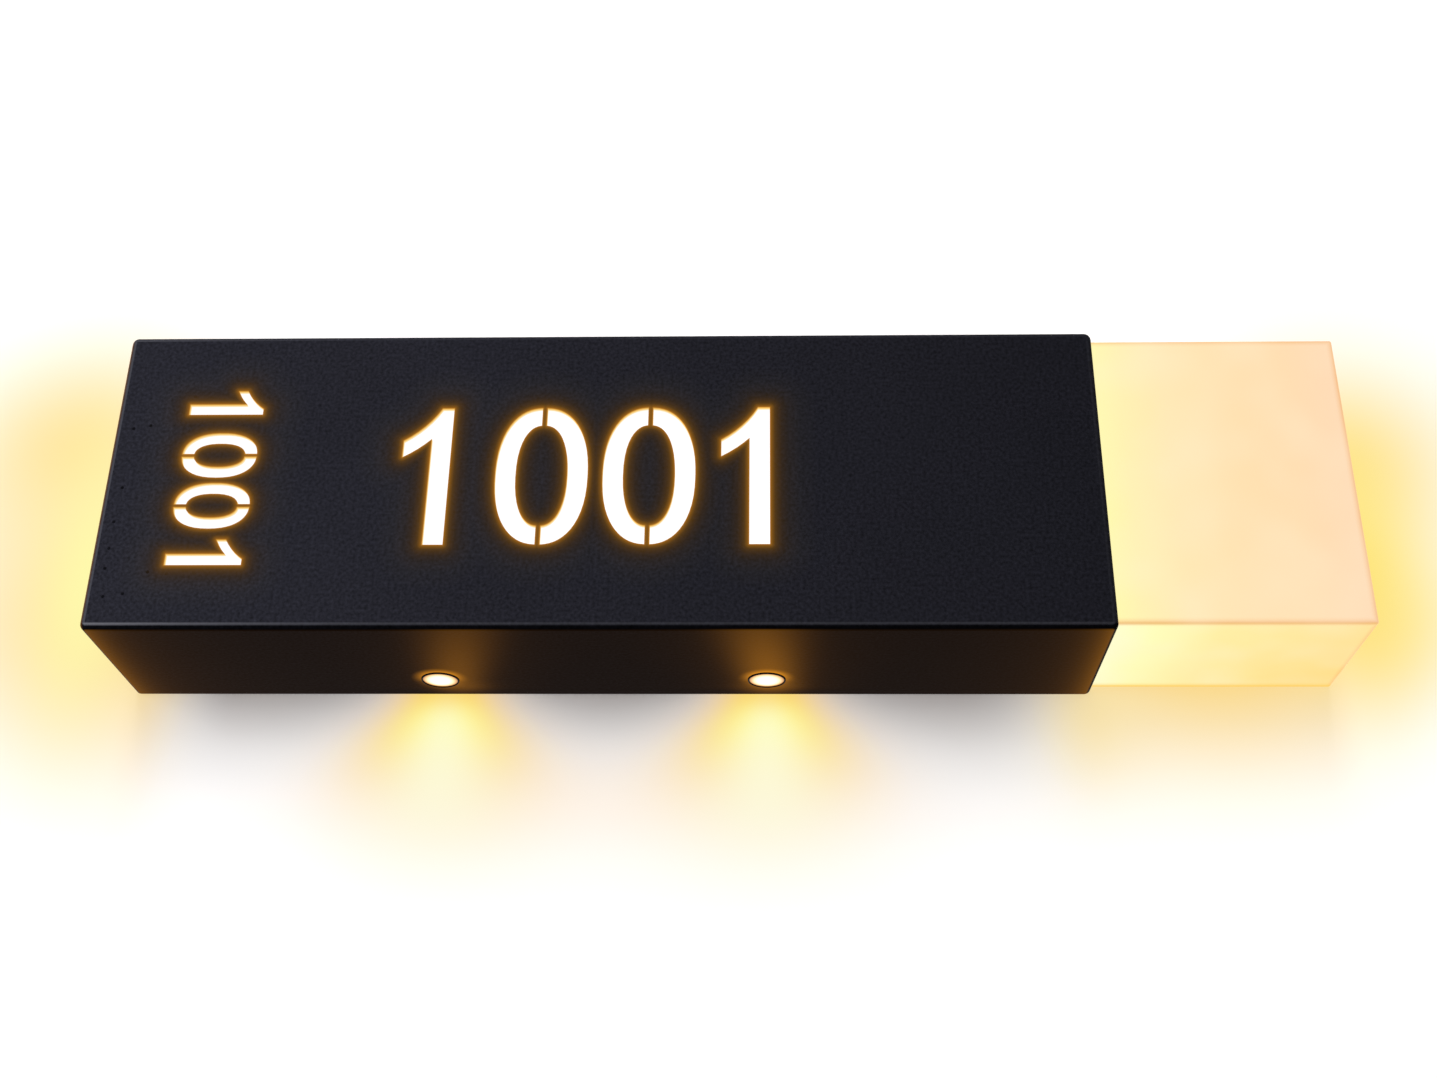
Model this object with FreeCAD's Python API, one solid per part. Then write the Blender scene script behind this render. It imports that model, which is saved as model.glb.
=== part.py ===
import FreeCAD, Part
import math
import os

# Room number wall light, in millimetres. The wall is the plane y = 0 and the light stands in front of it,
# towards -Y. X runs along the shell, with the frosted block at +X, and Z is up. The origin is on the wall
# behind the middle of the shell.

V = FreeCAD.Vector
ALONG_X = V(1, 0, 0)
ALONG_Y = V(0, 1, 0)
ALONG_Z = V(0, 0, 1)

# Shell: a welded and ground box of sheet, open to the wall
shell_length = 300.0
shell_height = 100.0
shell_depth = 52.0
sheet = 1.5
inner_bend_radius = 0.7
wall_gap = 0.3
overrun = 1.0
slack = 0.01

# Large room number cut through the front
number_height = 46.4
number_stroke = 6.1
number_one_width = 14.6
number_zero_width = 27.8
number_bridge = 1.5
number_start = 89.5
number_gap_after_one = 14.0
number_gap_between_zeros = 4.5
number_gap_before_one = 7.7

# Small room number near the left end, turned a quarter turn so that its digits' tops point right
side_height = 22.8
side_stroke = 3.6
side_one_width = 8.3
side_zero_width = 15.3
side_bridge = 1.05
side_start = 22.3
side_gap_after_one = 6.6
side_gap_between_zeros = 1.9
side_gap_before_one = 3.7

# Form of the digits. Each flag point is a share of the one's width and of the digit's height.
zero_squareness = 2.3
zero_points = 24
flag_crown_share = 0.757
flag_tip_high_share = 0.758
flag_tip_low_share = 0.635
flag_root_share = 0.771
flag_high_middle_shares = (0.432, 0.866)
flag_low_middle_shares = (0.338, 0.704)

# Window of frosted acrylic in the left end
window_length = 66.0
window_width = 28.0
window_from_front = 23.0
window_lip = 5.0
window_lip_thickness = 1.8
window_clearance = 0.1

# Frosted block at the right end
diffuser_reach = 74.0
diffuser_insert = 14.0
diffuser_wall = 3.0
diffuser_inset = 2.3
diffuser_clearance = 0.1
diffuser_edge_radius = 0.8
post_side = 9.0
post_length = 12.0

# Frosted panel behind the numbers, and the white light tray over it
panel_thickness = 3.0
tray_margin = 1.5
tray_sheet = 0.8
tray_depth = 17.0
tray_flange = 7.5

# M3 weld studs on the shell's inner faces, and their nuts
stud_radius = 1.5
stud_length = 8.0
nut_flats = 5.5
nut_height = 2.4
thread_clearance = 0.05
hole_clearance = 0.2

# Boards and their light-emitting chips
board_thickness = 1.2
chip_length = 3.5
chip_width = 2.8
chip_height = 0.8
number_board_margin = 3.0
number_chip_edge = 11.0
number_chip_columns = 14
number_chip_rows = 4
left_board_length = 58.0
left_board_width = 10.0
left_chip_rows = 8
diffuser_board_height = 62.0
diffuser_board_width = 25.0
diffuser_chip_columns = 2
diffuser_chip_rows = 7
end_chip_edge = 10.0
header_width = 6.0
header_depth = 3.4
header_height = 3.2
board_screw_radius = 1.25
board_screw_head_radius = 2.2
board_screw_head_height = 1.2
board_screw_tail = 1.6
board_screw_edge = 4.0

# Carrier plate that holds the frosted block
carrier_sheet = 1.5
carrier_flange = 13.0
carrier_edge_gap = 1.0
carrier_rear_gap = 6.0
carrier_stud_height = 30.0
block_screw_length = 9.0
block_screw_head_radius = 2.75
block_screw_head_height = 1.9

# Downlights in the underside
spot_places = (-51.0, 49.4)
spot_from_wall = 12.5
spot_lens_radius = 5.3
spot_body_wall = 0.4
spot_body_length = 12.5
spot_lip_radius = 6.1
spot_lip = 0.5
spot_clearance = 0.05
spot_hole_clearance = 0.1
spot_lens_thickness = 2.4
spot_lens_dome = 0.5
spot_reflector_wall = 0.8
spot_reflector_height = 4.0
spot_reflector_top_radius = 2.4
spot_board_thickness = 1.0
spot_chip_side = 3.0
spot_cap_lip = 1.4
spot_nut_radius = 7.6
spot_nut_height = 3.0
spot_nut_notch = 2.0

# Slim driver that feeds the chips, and the foam pad that holds it on the tray's back
driver_length = 66.0
driver_height = 38.0
driver_case_depth = 9.0
driver_lid_depth = 3.0
driver_edge_radius = 1.5
driver_lid_edge_radius = 0.8
driver_from_tray_end = 12.0
driver_place_z = 4.0
driver_pad_thickness = 0.8
driver_pad_margin = 4.0

# Supply connector with its three levers
pole_pitch = 6.6
pole_count = 3
connector_height = 20.0
connector_depth = 10.0
connector_from_driver = 24.0
connector_place_z = 14.0
lever_slot = 5.4
lever_slot_depth = 4.4
lever_slot_run = 15.0
lever_side_gap = 0.35
lever_thickness = 1.6
lever_length = 14.5
lever_hub_radius = 1.7
lever_pin_radius = 0.75
lever_floor_gap = 0.5
entry_radius = 1.6
entry_depth = 7.0

# Splitter that shares the driver's output
splitter_length = 30.0
splitter_height = 10.0
splitter_depth = 9.0
splitter_edge_radius = 0.8
splitter_from_spot = 10.4
splitter_place_z = -6.0
socket_spread = 4.4

# Leads held inside the shell
single_lead_radius = 1.1
twin_lead_radius = 1.2
lead_bend = 3.4
lead_run_share = 0.48
live_rise = 6.0
neutral_rise = 9.5
live_from_driver_end = 6.0
neutral_from_driver_end = 12.0
earth_from_top = 12.5
spot_lead_level = -22.0
long_lead_level = -19.0
left_lead_level = -20.0
splitter_turn = 8.0
number_lead_turn = 16.0
spot_left_socket = -9.5

# Wall bracket
bracket_sheet = 1.5
leg_spacing = 182.0
band_height = 44.0
leg_width = 38.0
ear_width = 30.0
ear_margin = 7.0
tab_reach = 12.0
tab_gap = 0.3
bracket_inner_radius = 0.5
wall_slot_width = 5.0
wall_slot_length = 12.0
box_slot_spacing = 60.0
box_slot_width = 4.5
box_slot_length = 9.0
entry_place_z = 12.0
bushing_bore_radius = 5.0
bushing_sleeve_radius = 7.0
bushing_flange_radius = 10.0
bushing_flange = 1.6
bushing_clearance = 0.05

# Cover screws in the top, with clinch nuts under the bracket's ears
cover_screw_from_wall = 7.0
cover_screw_radius = 2.0
cover_screw_length = 10.0
cover_screw_head_radius = 3.8
cover_screw_head_height = 2.2
cover_screw_crown = 1.6
cover_screw_key = 2.5
cover_screw_key_depth = 1.3
cover_notch_clearance = 0.3
clinch_nut_radius = 3.9
clinch_nut_height = 4.0

# Earth points
earth_place_x = 24.0
earth_stud_radius = 2.0
earth_stud_length = 11.0
earth_nut_flats = 7.0
earth_nut_height = 3.2
earth_washer_radius = 4.5
earth_washer_thickness = 1.0
lug_thickness = 0.8
lug_radius = 3.2
lug_reach = 7.5
lug_barrel_radius = 1.9
lug_barrel_length = 5.0
lug_from_top = 30.0

# Faces of the shell that the other pieces take their places from
left = -shell_length / 2
right = shell_length / 2
top = shell_height / 2
bottom = -shell_height / 2
front = -shell_depth
rear = -wall_gap
inner_left = left + sheet
inner_right = right - sheet
inner_top = top - sheet
inner_bottom = bottom + sheet
inner_front = front + sheet
edge_radius = inner_bend_radius + sheet

# Reach of the numbers over the front
side_run = 2 * (side_one_width + side_zero_width)
side_run += side_gap_after_one + side_gap_between_zeros + side_gap_before_one
number_run = 2 * (number_one_width + number_zero_width)
number_run += number_gap_after_one + number_gap_between_zeros + number_gap_before_one
numbers_left = left + side_start
numbers_right = left + number_start + number_run
numbers_half_height = max(side_run, number_height) / 2

# Light tray and panel
panel_rear = inner_front + panel_thickness
tray_inner_left = numbers_left - tray_margin
tray_inner_right = numbers_right + tray_margin
tray_inner_top = numbers_half_height + tray_margin
tray_left = tray_inner_left - tray_sheet
tray_right = tray_inner_right + tray_sheet
tray_top = tray_inner_top + tray_sheet
flange_left = tray_left - tray_flange
flange_right = tray_right + tray_flange
flange_top = tray_top + tray_flange
tray_floor = panel_rear + tray_depth
tray_rear = tray_floor + tray_sheet
stud_columns = (flange_left + tray_flange / 2, flange_right - tray_flange / 2)
stud_row = flange_top - tray_flange / 2

# Frosted block and its carrier
block_left = right - diffuser_insert
block_right = right + diffuser_reach
block_top = top - diffuser_inset
block_front = front + diffuser_inset
hollow_top = block_top - diffuser_wall
hollow_front = block_front + diffuser_wall
hollow_rear = rear - diffuser_wall
carrier_left = block_left - carrier_sheet
carrier_stud_x = carrier_left - carrier_flange / 2
post_rows = (-(hollow_top - post_side / 2), hollow_top - post_side / 2)
post_columns = (hollow_front + post_side / 2, hollow_rear - post_side / 2)
block_board_y = (hollow_front + hollow_rear) / 2
left_board_y = (panel_rear + tray_floor) / 2
window_y = front + window_from_front

# Driver, connector and splitter
driver_left = tray_left + driver_from_tray_end
driver_right = driver_left + driver_length
driver_front = tray_rear + driver_pad_thickness
driver_seam = driver_front + driver_case_depth
driver_rear = driver_seam + driver_lid_depth
driver_top = driver_place_z + driver_height / 2
driver_bottom = driver_place_z - driver_height / 2
connector_x = driver_right + connector_from_driver
connector_rear = tray_rear + connector_depth
connector_bottom = connector_place_z - connector_height / 2
connector_top = connector_place_z + connector_height / 2
connector_half_width = (pole_count * pole_pitch + (pole_pitch - lever_slot)) / 2
pole_places = [connector_x + pole_pitch * (i - (pole_count - 1) / 2) for i in range(pole_count)]
lever_floor = connector_rear - lever_slot_depth
lever_pin_y = lever_floor + lever_floor_gap + lever_hub_radius
lever_pin_z = connector_top - lever_slot_run + lever_hub_radius + lever_floor_gap
pole_y = (tray_rear + lever_floor) / 2
splitter_place_x = spot_places[1] - splitter_from_spot
splitter_left = splitter_place_x - splitter_length / 2
splitter_right = splitter_place_x + splitter_length / 2
splitter_bottom = splitter_place_z - splitter_height / 2
socket_near = tray_rear + (splitter_depth - socket_spread) / 2
socket_far = socket_near + socket_spread
socket_low = splitter_place_z - socket_spread / 2
socket_high = splitter_place_z + socket_spread / 2

# Downlights
spot_y = -spot_from_wall
spot_inner_radius = spot_lens_radius + spot_clearance
spot_body_radius = spot_inner_radius + spot_body_wall
spot_mouth = bottom - spot_lip
spot_body_top = bottom + spot_body_length
spot_cap_top = spot_body_top + spot_cap_lip

# Bracket and the earth lug
ear_top = inner_top
tab_bottom = inner_bottom + tab_gap
bracket_front = -bracket_sheet
bracket_bend_radius = bracket_inner_radius + bracket_sheet
ear_reach = cover_screw_from_wall + ear_margin
lug_x = (flange_right + carrier_left - carrier_flange) / 2
lug_z = top - lug_from_top


def span(middle, width):
    """Limits of a width about its middle."""
    return middle - width / 2, middle + width / 2


def block(x, y, z):
    """Block between pairs of limits."""
    return Part.makeBox(x[1] - x[0], y[1] - y[0], z[1] - z[0], V(x[0], y[0], z[0]))


def rod(start, direction, radius, length):
    """Round bar from the middle of one end."""
    return Part.makeCylinder(radius, length, start, direction)


def ring(start, direction, outer, inner, length):
    """Round bar with a bore right through it."""
    return rod(start, direction, outer, length).cut(rod(start, direction, inner, length))


def hexagon(start, direction, flats, length):
    """Six-sided bar from the middle of one end."""
    side = ALONG_X if abs(direction.x) < math.cos(math.pi / 4) else ALONG_Y
    other = direction.cross(side)
    reach = flats / math.sqrt(3)
    turns = [i * math.pi / 3 for i in range(7)]
    corners = [start + side * (reach * math.cos(t)) + other * (reach * math.sin(t)) for t in turns]
    return Part.Face(Part.makePolygon(corners)).extrude(direction * length)


def pair_of(place):
    """The place and its mirror image."""
    return -place, place


def joined(solids):
    """One solid from pieces that meet."""
    whole = solids[0].multiFuse(solids[1:])
    return whole.removeSplitter()


def group(solids):
    """Like pieces that stay separate."""
    return Part.makeCompound(solids)


def rounded(solid, radius, chosen):
    """Solid with the edges that the test picks rounded."""
    return solid.makeFillet(radius, [edge for edge in solid.Edges if chosen(edge)])


def spread(limits, count, edge):
    """Evenly spaced places between two limits, an edge distance in from each."""
    first, last = limits[0] + edge, limits[1] - edge
    return [first + (last - first) * i / (count - 1) for i in range(count)]


def lead(points, radius, bend):
    """Round lead along straight runs joined by tangent arcs."""
    edges = []
    start = points[0]
    for before, corner, after in zip(points, points[1:], points[2:]):
        way_in = (corner - before).normalize()
        way_out = (after - corner).normalize()
        turn = way_in.getAngle(way_out)
        shorter = min((corner - before).Length, (after - corner).Length)
        reach = min(bend * math.tan(turn / 2), lead_run_share * shorter)
        arc_radius = reach / math.tan(turn / 2)
        first = corner - way_in * reach
        last = corner + way_out * reach
        inward = (way_out - way_in).normalize()
        middle = corner + inward * (arc_radius / math.cos(turn / 2) - arc_radius)
        edges.append(Part.LineSegment(start, first).toShape())
        edges.append(Part.Arc(first, middle, last).toShape())
        start = last
    edges.append(Part.LineSegment(start, points[-1]).toShape())
    path = Part.Wire(edges)
    section = Part.Wire(Part.Circle(points[0], points[1] - points[0], radius).toShape())
    tube = path.makePipeShell([section], True, False)
    section_area = math.pi * radius**2
    volume_share = tube.Volume / (section_area * path.Length)
    print("lead", round(path.Length, 1), "volume share", round(volume_share, 4))
    return tube


def one_outline(width, stroke, height):
    """Figure one with a concave flag, from its lower left corner."""
    stem = width - stroke
    crown = V(width * flag_crown_share, height, 0)
    tip_high = V(0, height * flag_tip_high_share, 0)
    tip_low = V(0, height * flag_tip_low_share, 0)
    root = V(stem, height * flag_root_share, 0)
    high_middle = V(width * flag_high_middle_shares[0], height * flag_high_middle_shares[1], 0)
    low_middle = V(width * flag_low_middle_shares[0], height * flag_low_middle_shares[1], 0)
    corners = [root, V(stem, 0, 0), V(width, 0, 0), V(width, height, 0), crown]
    edges = [Part.Arc(crown, high_middle, tip_high).toShape()]
    edges.append(Part.LineSegment(tip_high, tip_low).toShape())
    edges.append(Part.Arc(tip_low, low_middle, root).toShape())
    edges += [Part.LineSegment(a, b).toShape() for a, b in zip(corners, corners[1:])]
    return Part.Face(Part.Wire(edges))


def oval(half_width, half_height):
    """Closed oval, a little squarer than an ellipse, about the origin."""
    power = 2 / zero_squareness
    points = []
    for i in range(zero_points):
        across, up = math.cos(2 * math.pi * i / zero_points), math.sin(2 * math.pi * i / zero_points)
        x = half_width * math.copysign(abs(across) ** power, across)
        points.append(V(x, half_height * math.copysign(abs(up) ** power, up), 0))
    curve = Part.BSplineCurve()
    curve.interpolate(Points=points, PeriodicFlag=True)
    return Part.Face(Part.Wire(curve.toShape()))


def zero_outline(width, stroke, height, bridge):
    """Figure zero in two halves, with a bridge above and below, from its lower left corner."""
    middle = oval(width / 2 - stroke, height / 2 - stroke)
    strip = Part.makePlane(bridge, height + 2 * overrun, V(-bridge / 2, -height / 2 - overrun, 0))
    halves = oval(width / 2, height / 2).cut(middle).cut(strip)
    halves.translate(V(width / 2, height / 2, 0))
    return halves


def number_cut(height, stroke, one_width, zero_width, bridge, gaps):
    """The digits 1001 side by side as one cutting tool, from the lower left corner of the first."""
    faces, place = [], 0
    for digit, gap in zip("1001", [*gaps, 0]):
        if digit == "1":
            outline, width = one_outline(one_width, stroke, height), one_width
        else:
            outline, width = zero_outline(zero_width, stroke, height, bridge), zero_width
        outline.translate(V(place, 0, 0))
        faces += outline.Faces
        place += width + gap
    return Part.makeCompound([face.extrude(V(0, 0, sheet + 2 * overrun)) for face in faces])


def large_number_cut():
    gaps = (number_gap_after_one, number_gap_between_zeros, number_gap_before_one)
    tool = number_cut(number_height, number_stroke, number_one_width, number_zero_width, number_bridge, gaps)
    tool.rotate(V(0, 0, 0), ALONG_X, 90)
    tool.translate(V(left + number_start, inner_front + overrun, -number_height / 2))
    return tool


def side_number_cut():
    gaps = (side_gap_after_one, side_gap_between_zeros, side_gap_before_one)
    tool = number_cut(side_height, side_stroke, side_one_width, side_zero_width, side_bridge, gaps)
    tool.rotate(V(0, 0, 0), ALONG_Z, -90)
    tool.rotate(V(0, 0, 0), ALONG_X, 90)
    tool.translate(V(numbers_left, inner_front + overrun, side_run / 2))
    return tool


def along_depth_or_front(edge, face_y):
    """True for an edge that runs along Y or lies in the plane of the given face."""
    a, b = edge.Vertexes[0].Point, edge.Vertexes[-1].Point
    return abs(a.y - b.y) > slack or (abs(a.y - face_y) < slack and abs(b.y - face_y) < slack)


def shell():
    """Box of sheet with rounded edges, and its cut-outs for light, lamps, block and cover screws."""
    body = block((left, right), (front, rear), (bottom, top))
    body = rounded(body, edge_radius, lambda edge: along_depth_or_front(edge, front))
    hollow = block((inner_left, inner_right), (inner_front, rear + overrun), (inner_bottom, inner_top))
    hollow = rounded(hollow, inner_bend_radius, lambda edge: along_depth_or_front(edge, inner_front))
    mouth_front = block_front - diffuser_clearance
    mouth = block_top + diffuser_clearance
    cuts = [hollow, large_number_cut(), side_number_cut()]
    right_wall = (inner_right - overrun, right + overrun)
    cuts.append(block(right_wall, (mouth_front, rear + overrun), pair_of(mouth)))
    opening_y = span(window_y, window_width)
    cuts.append(block((left - overrun, inner_left + overrun), opening_y, span(0, window_length)))
    for x in spot_places:
        hole = spot_body_radius + spot_hole_clearance
        cuts.append(rod(V(x, spot_y, bottom - overrun), ALONG_Z, hole, sheet + 2 * overrun))
    for x in pair_of(leg_spacing / 2):
        half = cover_screw_radius + cover_notch_clearance
        z = (inner_top - overrun, top + overrun)
        cuts.append(block((x - half, x + half), (-cover_screw_from_wall, rear + overrun), z))
        cuts.append(rod(V(x, -cover_screw_from_wall, z[0]), ALONG_Z, half, z[1] - z[0]))
    return body.cut(cuts)


def left_window():
    """Frosted window, flush outside, with a lip bonded to the inner face of the left end."""
    length, width = window_length - 2 * window_clearance, window_width - 2 * window_clearance
    pane = block((left, inner_left), span(window_y, width), span(0, length))
    lip_x = (inner_left, inner_left + window_lip_thickness)
    lip_y = span(window_y, window_width + 2 * window_lip)
    lip = block(lip_x, lip_y, span(0, window_length + 2 * window_lip))
    return joined([pane, lip])


def diffuser():
    """Hollow frosted block with four corner posts that take its screws."""
    body = block((block_left, block_right), (block_front, rear), (-block_top, block_top))
    body = rounded(body, diffuser_edge_radius, lambda edge: edge.BoundBox.XMax > block_left + slack)
    hollow_y = (hollow_front, hollow_rear)
    hollow = block((block_left - overrun, block_right - diffuser_wall), hollow_y, pair_of(hollow_top))
    post_x = (block_left, block_left + post_length)
    posts, bores = [], []
    for y in post_columns:
        for z in post_rows:
            posts.append(block(post_x, span(y, post_side), span(z, post_side)))
            start = V(block_left - overrun, y, z)
            bores.append(rod(start, ALONG_X, stud_radius + thread_clearance, post_length + 2 * overrun))
    return joined([body.cut(hollow), *posts]).cut(bores)


def number_panel():
    """Frosted panel on the inner face of the front, behind both numbers."""
    x, y = (flange_left, flange_right), (inner_front, panel_rear)
    holes = [rod(V(a, inner_front - overrun, c), ALONG_Y, stud_radius + hole_clearance, stud_length)
             for a, c in panel_studs()]
    return block(x, y, pair_of(flange_top)).cut(holes)


def panel_studs():
    """Places of the studs that hold the panel and the tray."""
    columns = (stud_columns[0], sum(stud_columns) / 2, stud_columns[1])
    return [(x, z) for x in columns for z in pair_of(stud_row)]


def stud_seats():
    """Places of all weld studs, each with the thickness that its nut clamps."""
    seats = [(x, z, panel_thickness + tray_sheet) for x, z in panel_studs()]
    seats += [(carrier_stud_x, z, carrier_sheet) for z in pair_of(carrier_stud_height)]
    seats.append((lug_x, lug_z, lug_thickness))
    return seats


def weld_studs():
    return group([rod(V(x, inner_front, z), ALONG_Y, stud_radius, stud_length) for x, z, _ in stud_seats()])


def stud_nuts():
    nuts = []
    for x, z, clamped in stud_seats():
        start = V(x, inner_front + clamped, z)
        bore = rod(start, ALONG_Y, stud_radius + thread_clearance, nut_height)
        nuts.append(hexagon(start, ALONG_Y, nut_flats, nut_height).cut(bore))
    return group(nuts)


def number_board_limits():
    """Limits of the number board along X and Z."""
    x = (tray_inner_left + number_board_margin, tray_inner_right - number_board_margin)
    return x, pair_of(tray_inner_top - number_board_margin)


def number_screw_places():
    x, z = number_board_limits()
    return [(a, c) for a in spread(x, 2, board_screw_edge) for c in spread(z, 2, board_screw_edge)]


def block_board_limits():
    """Limits of the block's board along Y and Z."""
    return span(block_board_y, diffuser_board_width), span(0, diffuser_board_height)


def block_screw_places():
    return spread(block_board_limits()[1], 2, board_screw_edge)


def light_tray():
    """White tray that closes the space behind the panel and carries the number board."""
    y = (panel_rear, tray_rear)
    walls = block((tray_left, tray_right), y, pair_of(tray_top))
    flange = block((flange_left, flange_right), (panel_rear, panel_rear + tray_sheet), pair_of(flange_top))
    hollow_y = (panel_rear - overrun, tray_floor)
    hollow = block((tray_inner_left, tray_inner_right), hollow_y, pair_of(tray_inner_top))
    hole, length = stud_radius + hole_clearance, tray_sheet + 2 * overrun
    cuts = [rod(V(x, panel_rear - overrun, z), ALONG_Y, hole, length) for x, z in panel_studs()]
    start_y = tray_floor - overrun
    hole = board_screw_radius + thread_clearance
    cuts += [rod(V(x, start_y, z), ALONG_Y, hole, length) for x, z in number_screw_places()]
    hole = twin_lead_radius + hole_clearance
    cuts.append(rod(V(splitter_left - number_lead_turn, start_y, socket_low), ALONG_Y, hole, length))
    return joined([walls, flange]).cut([hollow, *cuts])


def number_board():
    x, z = number_board_limits()
    y = (tray_floor - board_thickness, tray_floor)
    hole = board_screw_radius + thread_clearance
    holes = [rod(V(a, y[0] - overrun, c), ALONG_Y, hole, board_thickness + 2 * overrun)
             for a, c in number_screw_places()]
    return block(x, y, z).cut(holes)


def number_chips():
    x, z = number_board_limits()
    y = (tray_floor - board_thickness - chip_height, tray_floor - board_thickness)
    columns = spread(x, number_chip_columns, number_chip_edge)
    rows = spread(z, number_chip_rows, number_chip_edge)
    return group([block(span(a, chip_length), y, span(c, chip_width)) for a in columns for c in rows])


def left_board():
    """Board on the tray's left wall, with the header that its lead plugs into."""
    face = tray_left - board_thickness
    y = span(left_board_y, left_board_width)
    board = block((face, tray_left), y, span(0, left_board_length))
    header_y = (y[1] - header_depth, y[1])
    header = block((face - header_height, face), header_y, span(left_lead_level, header_width))
    return joined([board, header])


def left_chips():
    face = tray_left - board_thickness
    rows = spread(span(0, left_board_length), left_chip_rows, end_chip_edge)
    y = span(left_board_y, chip_width)
    return group([block((face - chip_height, face), y, span(z, chip_length)) for z in rows])


def diffuser_carrier():
    """Folded plate across the block's mouth, on two studs of the front."""
    z = pair_of(inner_top - carrier_edge_gap)
    plate = block((carrier_left, block_left), (inner_front, rear - carrier_rear_gap), z)
    fold = (inner_front, inner_front + carrier_sheet)
    flange = block((carrier_left - carrier_flange, carrier_left), fold, z)
    start_x, length = carrier_left - overrun, carrier_sheet + 2 * overrun
    hole = stud_radius + hole_clearance
    cuts = [rod(V(start_x, y, c), ALONG_X, hole, length) for y in post_columns for c in post_rows]
    cuts += [rod(V(carrier_stud_x, inner_front - overrun, c), ALONG_Y, hole, length)
             for c in pair_of(carrier_stud_height)]
    hole = board_screw_radius + thread_clearance
    cuts += [rod(V(start_x, block_board_y, c), ALONG_X, hole, length) for c in block_screw_places()]
    cuts.append(rod(V(start_x, socket_far, socket_high), ALONG_X, twin_lead_radius + hole_clearance, length))
    return joined([plate, flange]).cut(cuts)


def diffuser_screws():
    """Pan-head screws through the carrier into the block's posts."""
    screws = []
    for y in post_columns:
        for z in post_rows:
            head_start = V(carrier_left - block_screw_head_height, y, z)
            head = rod(head_start, ALONG_X, block_screw_head_radius, block_screw_head_height)
            shank = rod(V(carrier_left, y, z), ALONG_X, stud_radius, carrier_sheet + block_screw_length)
            screws.append(joined([head, shank]))
    return group(screws)


def diffuser_board():
    y, z = block_board_limits()
    hole = board_screw_radius + thread_clearance
    holes = [rod(V(block_left - overrun, block_board_y, c), ALONG_X, hole, board_thickness + 2 * overrun)
             for c in block_screw_places()]
    return block((block_left, block_left + board_thickness), y, z).cut(holes)


def diffuser_chips():
    y, z = block_board_limits()
    face = block_left + board_thickness
    columns = spread(y, diffuser_chip_columns, end_chip_edge)
    rows = spread(z, diffuser_chip_rows, end_chip_edge)
    x = (face, face + chip_height)
    return group([block(x, span(b, chip_width), span(c, chip_length)) for b in columns for c in rows])


def board_screw(head_face, direction, clamped):
    """Screw with its head on a board, through what the board lies on."""
    head = rod(head_face - direction * board_screw_head_height, direction, board_screw_head_radius,
               board_screw_head_height)
    return joined([head, rod(head_face, direction, board_screw_radius, clamped + board_screw_tail)])


def board_screws():
    screws = []
    for x, z in number_screw_places():
        start = V(x, tray_floor - board_thickness, z)
        screws.append(board_screw(start, ALONG_Y, board_thickness + tray_sheet))
    for z in block_screw_places():
        start = V(block_left + board_thickness, block_board_y, z)
        screws.append(board_screw(start, -ALONG_X, board_thickness + carrier_sheet))
    return group(screws)


def spot_levels():
    """Heights at which the lens, reflector, board and cap of a downlight meet."""
    lens_top = spot_mouth + spot_lens_thickness
    reflector_top = lens_top + spot_reflector_height
    return lens_top, reflector_top, reflector_top + spot_board_thickness


def spot_body(x):
    """Threaded sleeve with a thin lip under the sheet."""
    start, length = V(x, spot_y, spot_mouth), spot_body_top - spot_mouth
    sleeve = rod(start, ALONG_Z, spot_body_radius, length)
    lip = rod(start, ALONG_Z, spot_lip_radius, spot_lip)
    bore = rod(start - ALONG_Z * overrun, ALONG_Z, spot_inner_radius, length + 2 * overrun)
    return joined([sleeve, lip]).cut(bore)


def spot_lens(x):
    """Clear lens with a shallow dome that faces down."""
    start = V(x, spot_y, spot_mouth)
    plate = rod(start, ALONG_Z, spot_lens_radius, spot_lens_thickness)
    ball_radius = (spot_lens_radius**2 + spot_lens_dome**2) / (2 * spot_lens_dome)
    ball = Part.makeSphere(ball_radius, start + ALONG_Z * (ball_radius - spot_lens_dome))
    dome = ball.common(rod(start - ALONG_Z * spot_lens_dome, ALONG_Z, spot_lens_radius, spot_lens_dome))
    return joined([plate, dome])


def spot_reflector(x):
    """White cone that opens from the chip to the lens."""
    base = V(x, spot_y, spot_levels()[0])
    mouth = spot_lens_radius - spot_reflector_wall
    cone = Part.makeCone(mouth, spot_reflector_top_radius, spot_reflector_height, base, ALONG_Z)
    return rod(base, ALONG_Z, spot_lens_radius, spot_reflector_height).cut(cone)


def spot_board(x):
    """Round board with its one chip below it."""
    under = spot_levels()[1]
    disc = rod(V(x, spot_y, under), ALONG_Z, spot_lens_radius, spot_board_thickness)
    chip = block(span(x, spot_chip_side), span(spot_y, spot_chip_side), (under - chip_height, under))
    return joined([disc, chip])


def spot_cap(x):
    """Plug that closes the sleeve, bored for the lead."""
    base = V(x, spot_y, spot_levels()[2])
    plug = rod(base, ALONG_Z, spot_lens_radius, spot_body_top - base.z)
    lip = rod(V(x, spot_y, spot_body_top), ALONG_Z, spot_body_radius, spot_cap_lip)
    hole = twin_lead_radius + thread_clearance
    return joined([plug, lip]).cut(rod(base, ALONG_Z, hole, spot_cap_top - base.z))


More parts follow.
